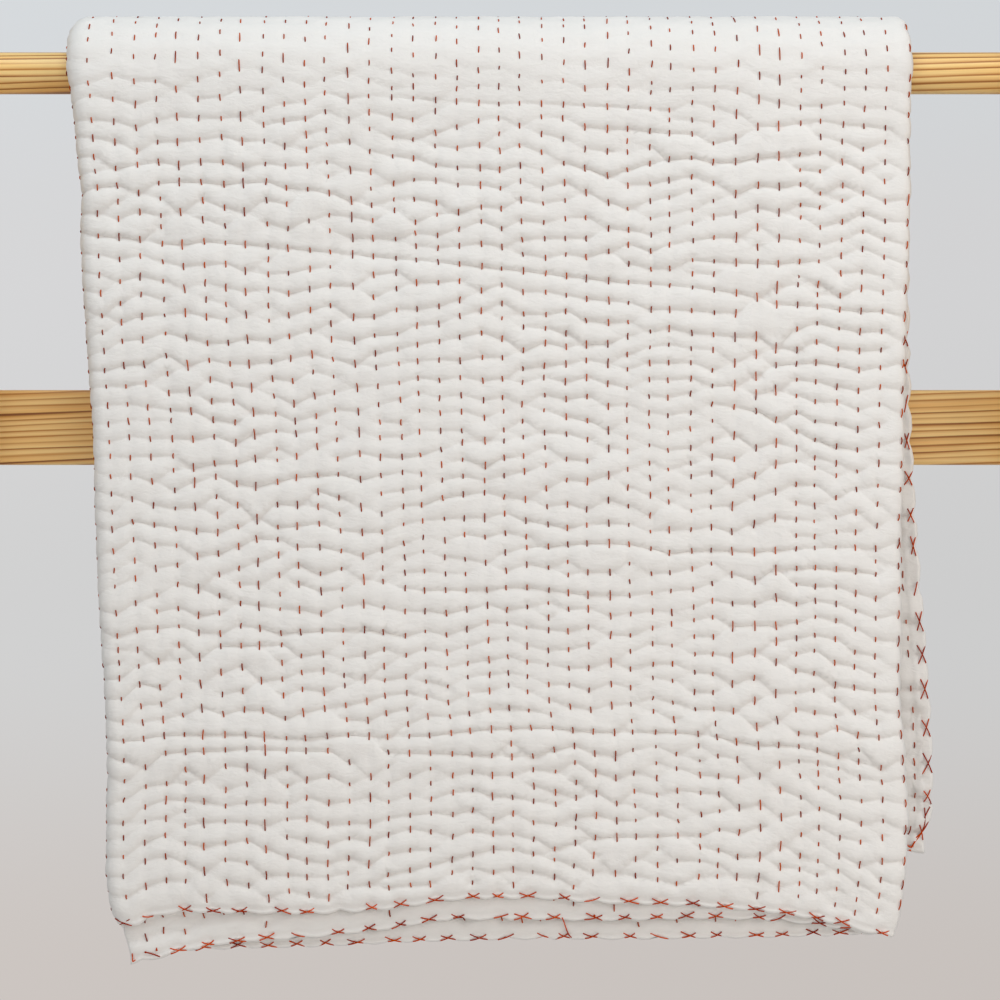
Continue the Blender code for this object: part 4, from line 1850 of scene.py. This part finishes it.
@dataclass(frozen=True)
class PineFinish:
    """Varnished pine with growth rings cut along their length."""

    name: str
    grain: Grain
    heart: Place
    ring_pitch: float
    slant: float = 0.0
    pale: Colour = (0.99, 0.68, 0.275)
    amber: Colour = (0.87, 0.44, 0.10)
    honey: Colour = (0.80, 0.36, 0.07)
    late: Colour = (0.26, 0.085, 0.010)
    roughness: float = 0.42
    pore_depth: float = 0.0002
    ring_stretch: Triple = (0.045, 1.0, 1.0)
    patch_stretch: Triple = (4.0, 90.0, 90.0)
    fibre_stretch: Triple = (9.0, 900.0, 900.0)
    fibre_tint: float = 0.15
    ring_strength: Place = (0.70, 0.42)
    patch_strength: Place = (1.1, 0.45)
    banding: Place = (3.0, -1.35)
    honey_gain: float = 1.6
    late_power: float = 1.5
    sways: tuple[Place, ...] = ((0.060, 0.012), (0.011, 0.0048))
    ring_darkness: tuple[Place, ...] = (
        (0.0, 0.30), (0.10, 0.0), (0.42, 0.05), (0.70, 0.38), (0.86, 1.0), (0.96, 0.8),
    )

    def build(self) -> bpy.types.Material:
        """Build the material, on the piece's object coordinates.

        Returns:
            The material.
        """
        bench = MaterialBench(self.name)
        turn = self.slant + (math.pi / 2 if self.grain is Grain.UPRIGHT else 0.0)
        where = bench.add("ShaderNodeTexCoord").outputs["Object"]
        along = {"Vector": where, "Rotation": (0.0, turn, 0.0), "Location": (0.0, *self.heart)}
        along = bench.add("ShaderNodeMapping", along)
        rings = bench.work_out("DIVIDE", self.ring_radius(bench, along), self.ring_pitch)
        ring_number = bench.work_out("FLOOR", rings)
        chance = bench.add("ShaderNodeTexWhiteNoise", {"W": ring_number}, noise_dimensions="1D")
        stops = [(place, (value,) * 3) for place, value in self.ring_darkness]
        patches = bench.noise(bench.scaled(along, self.patch_stretch), 1.0, 2.0)
        strength = bench.work_out("MULTIPLY_ADD", chance, *self.ring_strength)
        strength = bench.work_out("MULTIPLY", strength, bench.ramp(bench.work_out("FRACT", rings), stops))
        patchy = bench.work_out("MULTIPLY_ADD", patches, *self.patch_strength)
        strength = bench.work_out("MULTIPLY", strength, patchy)
        fibres = bench.noise(bench.scaled(along, self.fibre_stretch), 1.0, 3.0)
        body = bench.blend(bench.work_out("MULTIPLY_ADD", patches, *self.banding), self.pale, self.amber)
        warm = bench.blend(bench.work_out("MULTIPLY", strength, self.honey_gain), body, self.honey)
        wood = bench.blend(bench.work_out("POWER", strength, self.late_power), warm, self.late)
        return bench.finished({
            "Base Color": bench.blend(self.fibre_tint, wood, fibres, "MULTIPLY"),
            "Roughness": self.roughness,
            "Coat Weight": 0.08,
            "Coat Roughness": 0.3,
            "Normal": bench.bump(fibres, self.pore_depth, {}, 0.4),
        })

    def ring_radius(self, bench: MaterialBench, along: Input) -> bpy.types.Node:
        """Add the distance from the heart, swayed so that the rings wander.

        Args:
            bench: The material's bench.
            along: Coordinates along the grain.

        Returns:
            The distance.
        """
        place = bench.scaled(along, self.ring_stretch)
        swayed = [
            bench.work_out("MULTIPLY", bench.noise(place, 1.0 / size, 1.5), sway) for size, sway in self.sways
        ]
        across = bench.add("ShaderNodeVectorMath", {0: place, 1: (0.0, 1.0, 1.0)}, operation="MULTIPLY")
        radius = bench.add("ShaderNodeVectorMath", {0: across}, operation="LENGTH")
        return bench.work_out("ADD", radius.outputs["Value"], bench.work_out("ADD", *swayed))


@dataclass
class Quilt:
    """The whole quilt: cloth, stitching and their finishes."""

    flat_length: float = 1.60
    pinch_reach: float = 0.040
    cotton: CottonFinish = CottonFinish()
    running_thread: ThreadFinish = ThreadFinish("rust_thread", (0.22, 0.022, 0.003), (0.53, 0.085, 0.005))
    hem_thread: ThreadFinish = ThreadFinish("bright_thread", (0.32, 0.024, 0.003), (0.66, 0.084, 0.005))

    @staticmethod
    def guides(drape: FoldedDrape) -> list[Guide]:
        """Turn the long creases of the outer layer into guides on the flat cloth.

        Args:
            drape: The hung cloth.

        Returns:
            One guide for each straight stretch.
        """
        guides: list[Guide] = []
        for pull, spread, line in CREASE_LINES:
            flat = [drape.outer_place(x * MILLIMETRE, drop * MILLIMETRE) for x, drop in line]
            guides += [Guide(*start, *end, pull, spread) for start, end in zip(flat, flat[1:])]
        return guides

    def build(self) -> list[bpy.types.Object]:
        """Build the cloth and lay its thread.

        Returns:
            The cloth, then its threads.
        """
        low, high = (Vector(corner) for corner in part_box("top_rail"))
        centre = (low + high) / 2
        drape = FoldedDrape(rail_y=centre.y, rail_z=centre.z, rail_radius=(high.z - low.z) / 2)
        size = (drape.flat_width, drape.hung_length, drape.rail_top)
        side_hem = HemStitching(drape.hung_length, seed=9)
        pinches = [Guide(0.0, v, self.pinch_reach, v, 1.0, 0.5) for v in side_hem.places]
        mesh = QuiltMesh(
            drape=drape,
            charts={
                ClothSide.FACE: StitchChart(*size, seed=3, guides=self.guides(drape) + pinches),
                ClothSide.REVERSE: StitchChart(*size, seed=23),
            },
            front_hem=HemStitching(drape.flat_width, seed=5),
            back_hem=HemStitching(drape.flat_width, seed=7),
            side_hem=side_hem,
        )
        cloth = mesh.build()
        cloth.data.materials.append(self.cotton.build())
        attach(cloth, BODY)
        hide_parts("quilt")
        stitching = Stitching(mesh, cloth)
        running, bright = self.running_thread.build(), self.hem_thread.build()
        tree = ThreadTree(radius=stitching.thread_radius, rise=0.0007, sink=0.0004)
        front = tree.lay("front_stitches", stitching.front_rows(), running)
        back = tree.lay("back_stitches", stitching.back_rows(), running)
        hem_tree = ThreadTree(radius=stitching.hem_radius, rise=0.0009, sink=0.0006, bends=7)
        hems = hem_tree.lay("hem_crosses", stitching.hem_crosses(), bright)
        loose = LooseThreads(cloth, drape.rail_z, centre.y).build(bright)
        threads = [front, back, hems, loose]
        for piece in threads:
            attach(piece, BODY)
        return [cloth, *threads]


@dataclass
class Rack:
    """The pine rack, whose shapes come from the frame."""

    finishes: tuple[tuple[str, PineFinish], ...] = (
        # The rail's pale and amber are lighter than the other pieces': painted light, for the light that
        # falls on the rail.
        ("top_rail", PineFinish(
            "pine_rail_painted_light", Grain.ALONG_RAIL, (0.086, -0.352), 0.0052, 0.022,
            pale=(1.0, 0.70, 0.28), amber=(0.98, 0.52, 0.13),
        )),
        ("lower_board", PineFinish("pine_board", Grain.ALONG_RAIL, (0.030, 0.110), 0.0058, 0.040)),
        ("left_cheek", PineFinish("pine_left_cheek", Grain.UPRIGHT, (0.030, 0.46), 0.0050)),
        ("right_cheek", PineFinish("pine_right_cheek", Grain.UPRIGHT, (0.034, -0.52), 0.0050)),
    )

    def dress(self) -> list[bpy.types.Object]:
        """Give each pine piece its finish, the rail's made lighter with painted light.

        Returns:
            The pieces.
        """
        pieces = [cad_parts[name] for name, _ in self.finishes]
        for piece, (_, finish) in zip(pieces, self.finishes):
            piece.data.materials.clear()
            piece.data.materials.append(finish.build())
        return pieces


class SoftLight(NamedTuple):
    """A soft light: where it stands, its width and height, and its power in watts."""

    name: str
    place: Triple
    size: Place
    power: float
    colour: Colour


@dataclass
class Studio:
    """Camera, soft light, pale backdrop and floor."""

    view_width: float = 0.900
    sensor: float = 36.0
    floor_height: float = -1.0
    floor_size: float = 4.0
    # Backdrop colours by height: darker towards the bottom, painted shade on a plain backdrop.
    backdrop: tuple[Stop, ...] = (
        (-0.166, (0.604, 0.560, 0.533)),
        (-0.042, (0.638, 0.638, 0.638)),
        (0.083, (0.676, 0.676, 0.684)),
        (0.171, (0.674, 0.700, 0.722)),
    )
    right_painted_shade: float = 0.955
    fill: Colour = (0.430, 0.441, 0.454)
    floor_colour: Colour = (0.72, 0.70, 0.68)
    lights: tuple[SoftLight, ...] = (
        SoftLight("key_light", (-0.15, -1.3, 2.3), (1.8, 0.9), 30.0, (0.86, 0.95, 1.0)),
        SoftLight("front_light", (0.2, -3.6, 0.6), (2.4, 1.8), 4.2, (0.88, 0.95, 1.0)),
        SoftLight("right_light", (1.8, -1.7, 0.5), (1.0, 1.4), 12.5, (1.0, 0.91, 0.83)),
        SoftLight("low_light", (0.1, -2.6, -0.80), (2.4, 0.5), 10.0, (1.0, 0.89, 0.79)),
    )

    def place_camera(self) -> None:
        """Place the camera level with the middle of the view."""
        data = bpy.data.cameras.new("view_camera")
        data.sensor_width = self.sensor
        data.lens = self.sensor * (SEEN_FRONT - STUDIO_EYE.y) / self.view_width
        camera = put_in_scene("view_camera", data)
        camera.location = STUDIO_EYE
        camera.rotation_euler = (math.pi / 2, 0.0, 0.0)
        bpy.context.scene.camera = camera

    def place_lights(self) -> None:
        """Place the soft lights, aimed at the quilt's middle."""
        for name, place, size, power, colour in self.lights:
            data = bpy.data.lights.new(name, "AREA")
            data.shape = "RECTANGLE"
            data.size, data.size_y = size
            data.energy = power
            data.color = colour
            light = put_in_scene(name, data)
            light.location = place
            aim = Vector((0.0, SEEN_FRONT, STUDIO_EYE.z)) - Vector(place)
            light.rotation_euler = aim.to_track_quat("-Z", "Y").to_euler()

    def build_world(self) -> None:
        """Make a pale backdrop that is cool above and warm below, with painted shade: darker towards the
        bottom and to the right.
        """
        world = bpy.context.scene.world = bpy.data.worlds.new("studio")
        world.use_nodes = True
        bench = NodeBench(world.node_tree)
        where = bench.add("ShaderNodeTexCoord").outputs["Generated"]
        parts = bench.add("ShaderNodeSeparateXYZ", {"Vector": where}).outputs
        low, high = self.backdrop[0][0], self.backdrop[-1][0]
        span = {"From Min": low, "From Max": high}
        height = bench.add("ShaderNodeMapRange", {"Value": parts["Z"], **span})
        stops = [((place - low) / (high - low), colour) for place, colour in self.backdrop]
        # Painted shade: the backdrop seen by the camera dims towards the right.
        dimming = {"Value": parts["X"], **span, "To Min": 1.0, "To Max": self.right_painted_shade}
        dimming = bench.add("ShaderNodeMapRange", dimming)
        background = world.node_tree.nodes["Background"]
        bench.feed(background, {"Color": bench.ramp(height, stops, "EASE"), "Strength": dimming})
        fill = bench.add("ShaderNodeBackground", {"Color": self.fill})
        seen = bench.add("ShaderNodeLightPath").outputs["Is Camera Ray"]
        chosen = bench.add("ShaderNodeMixShader", {"Fac": seen, 1: fill, 2: background})
        bench.feed(world.node_tree.nodes["World Output"], {"Surface": chosen})

    def build_floor(self) -> None:
        """Lay a plain pale floor, well below the quilt."""
        mesh = bpy.data.meshes.new("studio_floor")
        half = self.floor_size / 2
        corners = [(-half, -half), (half, -half), (half, half), (-half, half)]
        mesh.from_pydata([(x, y, self.floor_height) for x, y in corners], [], [(0, 1, 2, 3)])
        bench = MaterialBench("pale_floor")
        mesh.materials.append(bench.finished({"Base Color": self.floor_colour, "Roughness": 0.8}))
        put_in_scene("studio_floor", mesh)

    def build(self) -> None:
        """Build the studio."""
        bpy.context.scene.view_settings.view_transform = "Standard"
        self.place_camera()
        self.build_world()
        self.build_floor()
        self.place_lights()


def corners(box: Sequence[Sequence[float]]) -> list[list[float]]:
    """Turn a box's two corners into plain lists."""
    return [[float(value) for value in corner] for corner in box]


def main() -> None:
    """Build the studio, dress the rack, hang the quilt and report each piece."""
    logging.basicConfig(level=logging.INFO, format="%(name)s: %(message)s")
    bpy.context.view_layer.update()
    Studio().build()
    for piece in Rack().dress() + Quilt().build():
        triangles = sum(len(face.vertices) - 2 for face in piece.data.polygons)
        LOG.info("%s: %d triangles", piece.name, triangles)


if __name__ == "__main__":
    main()
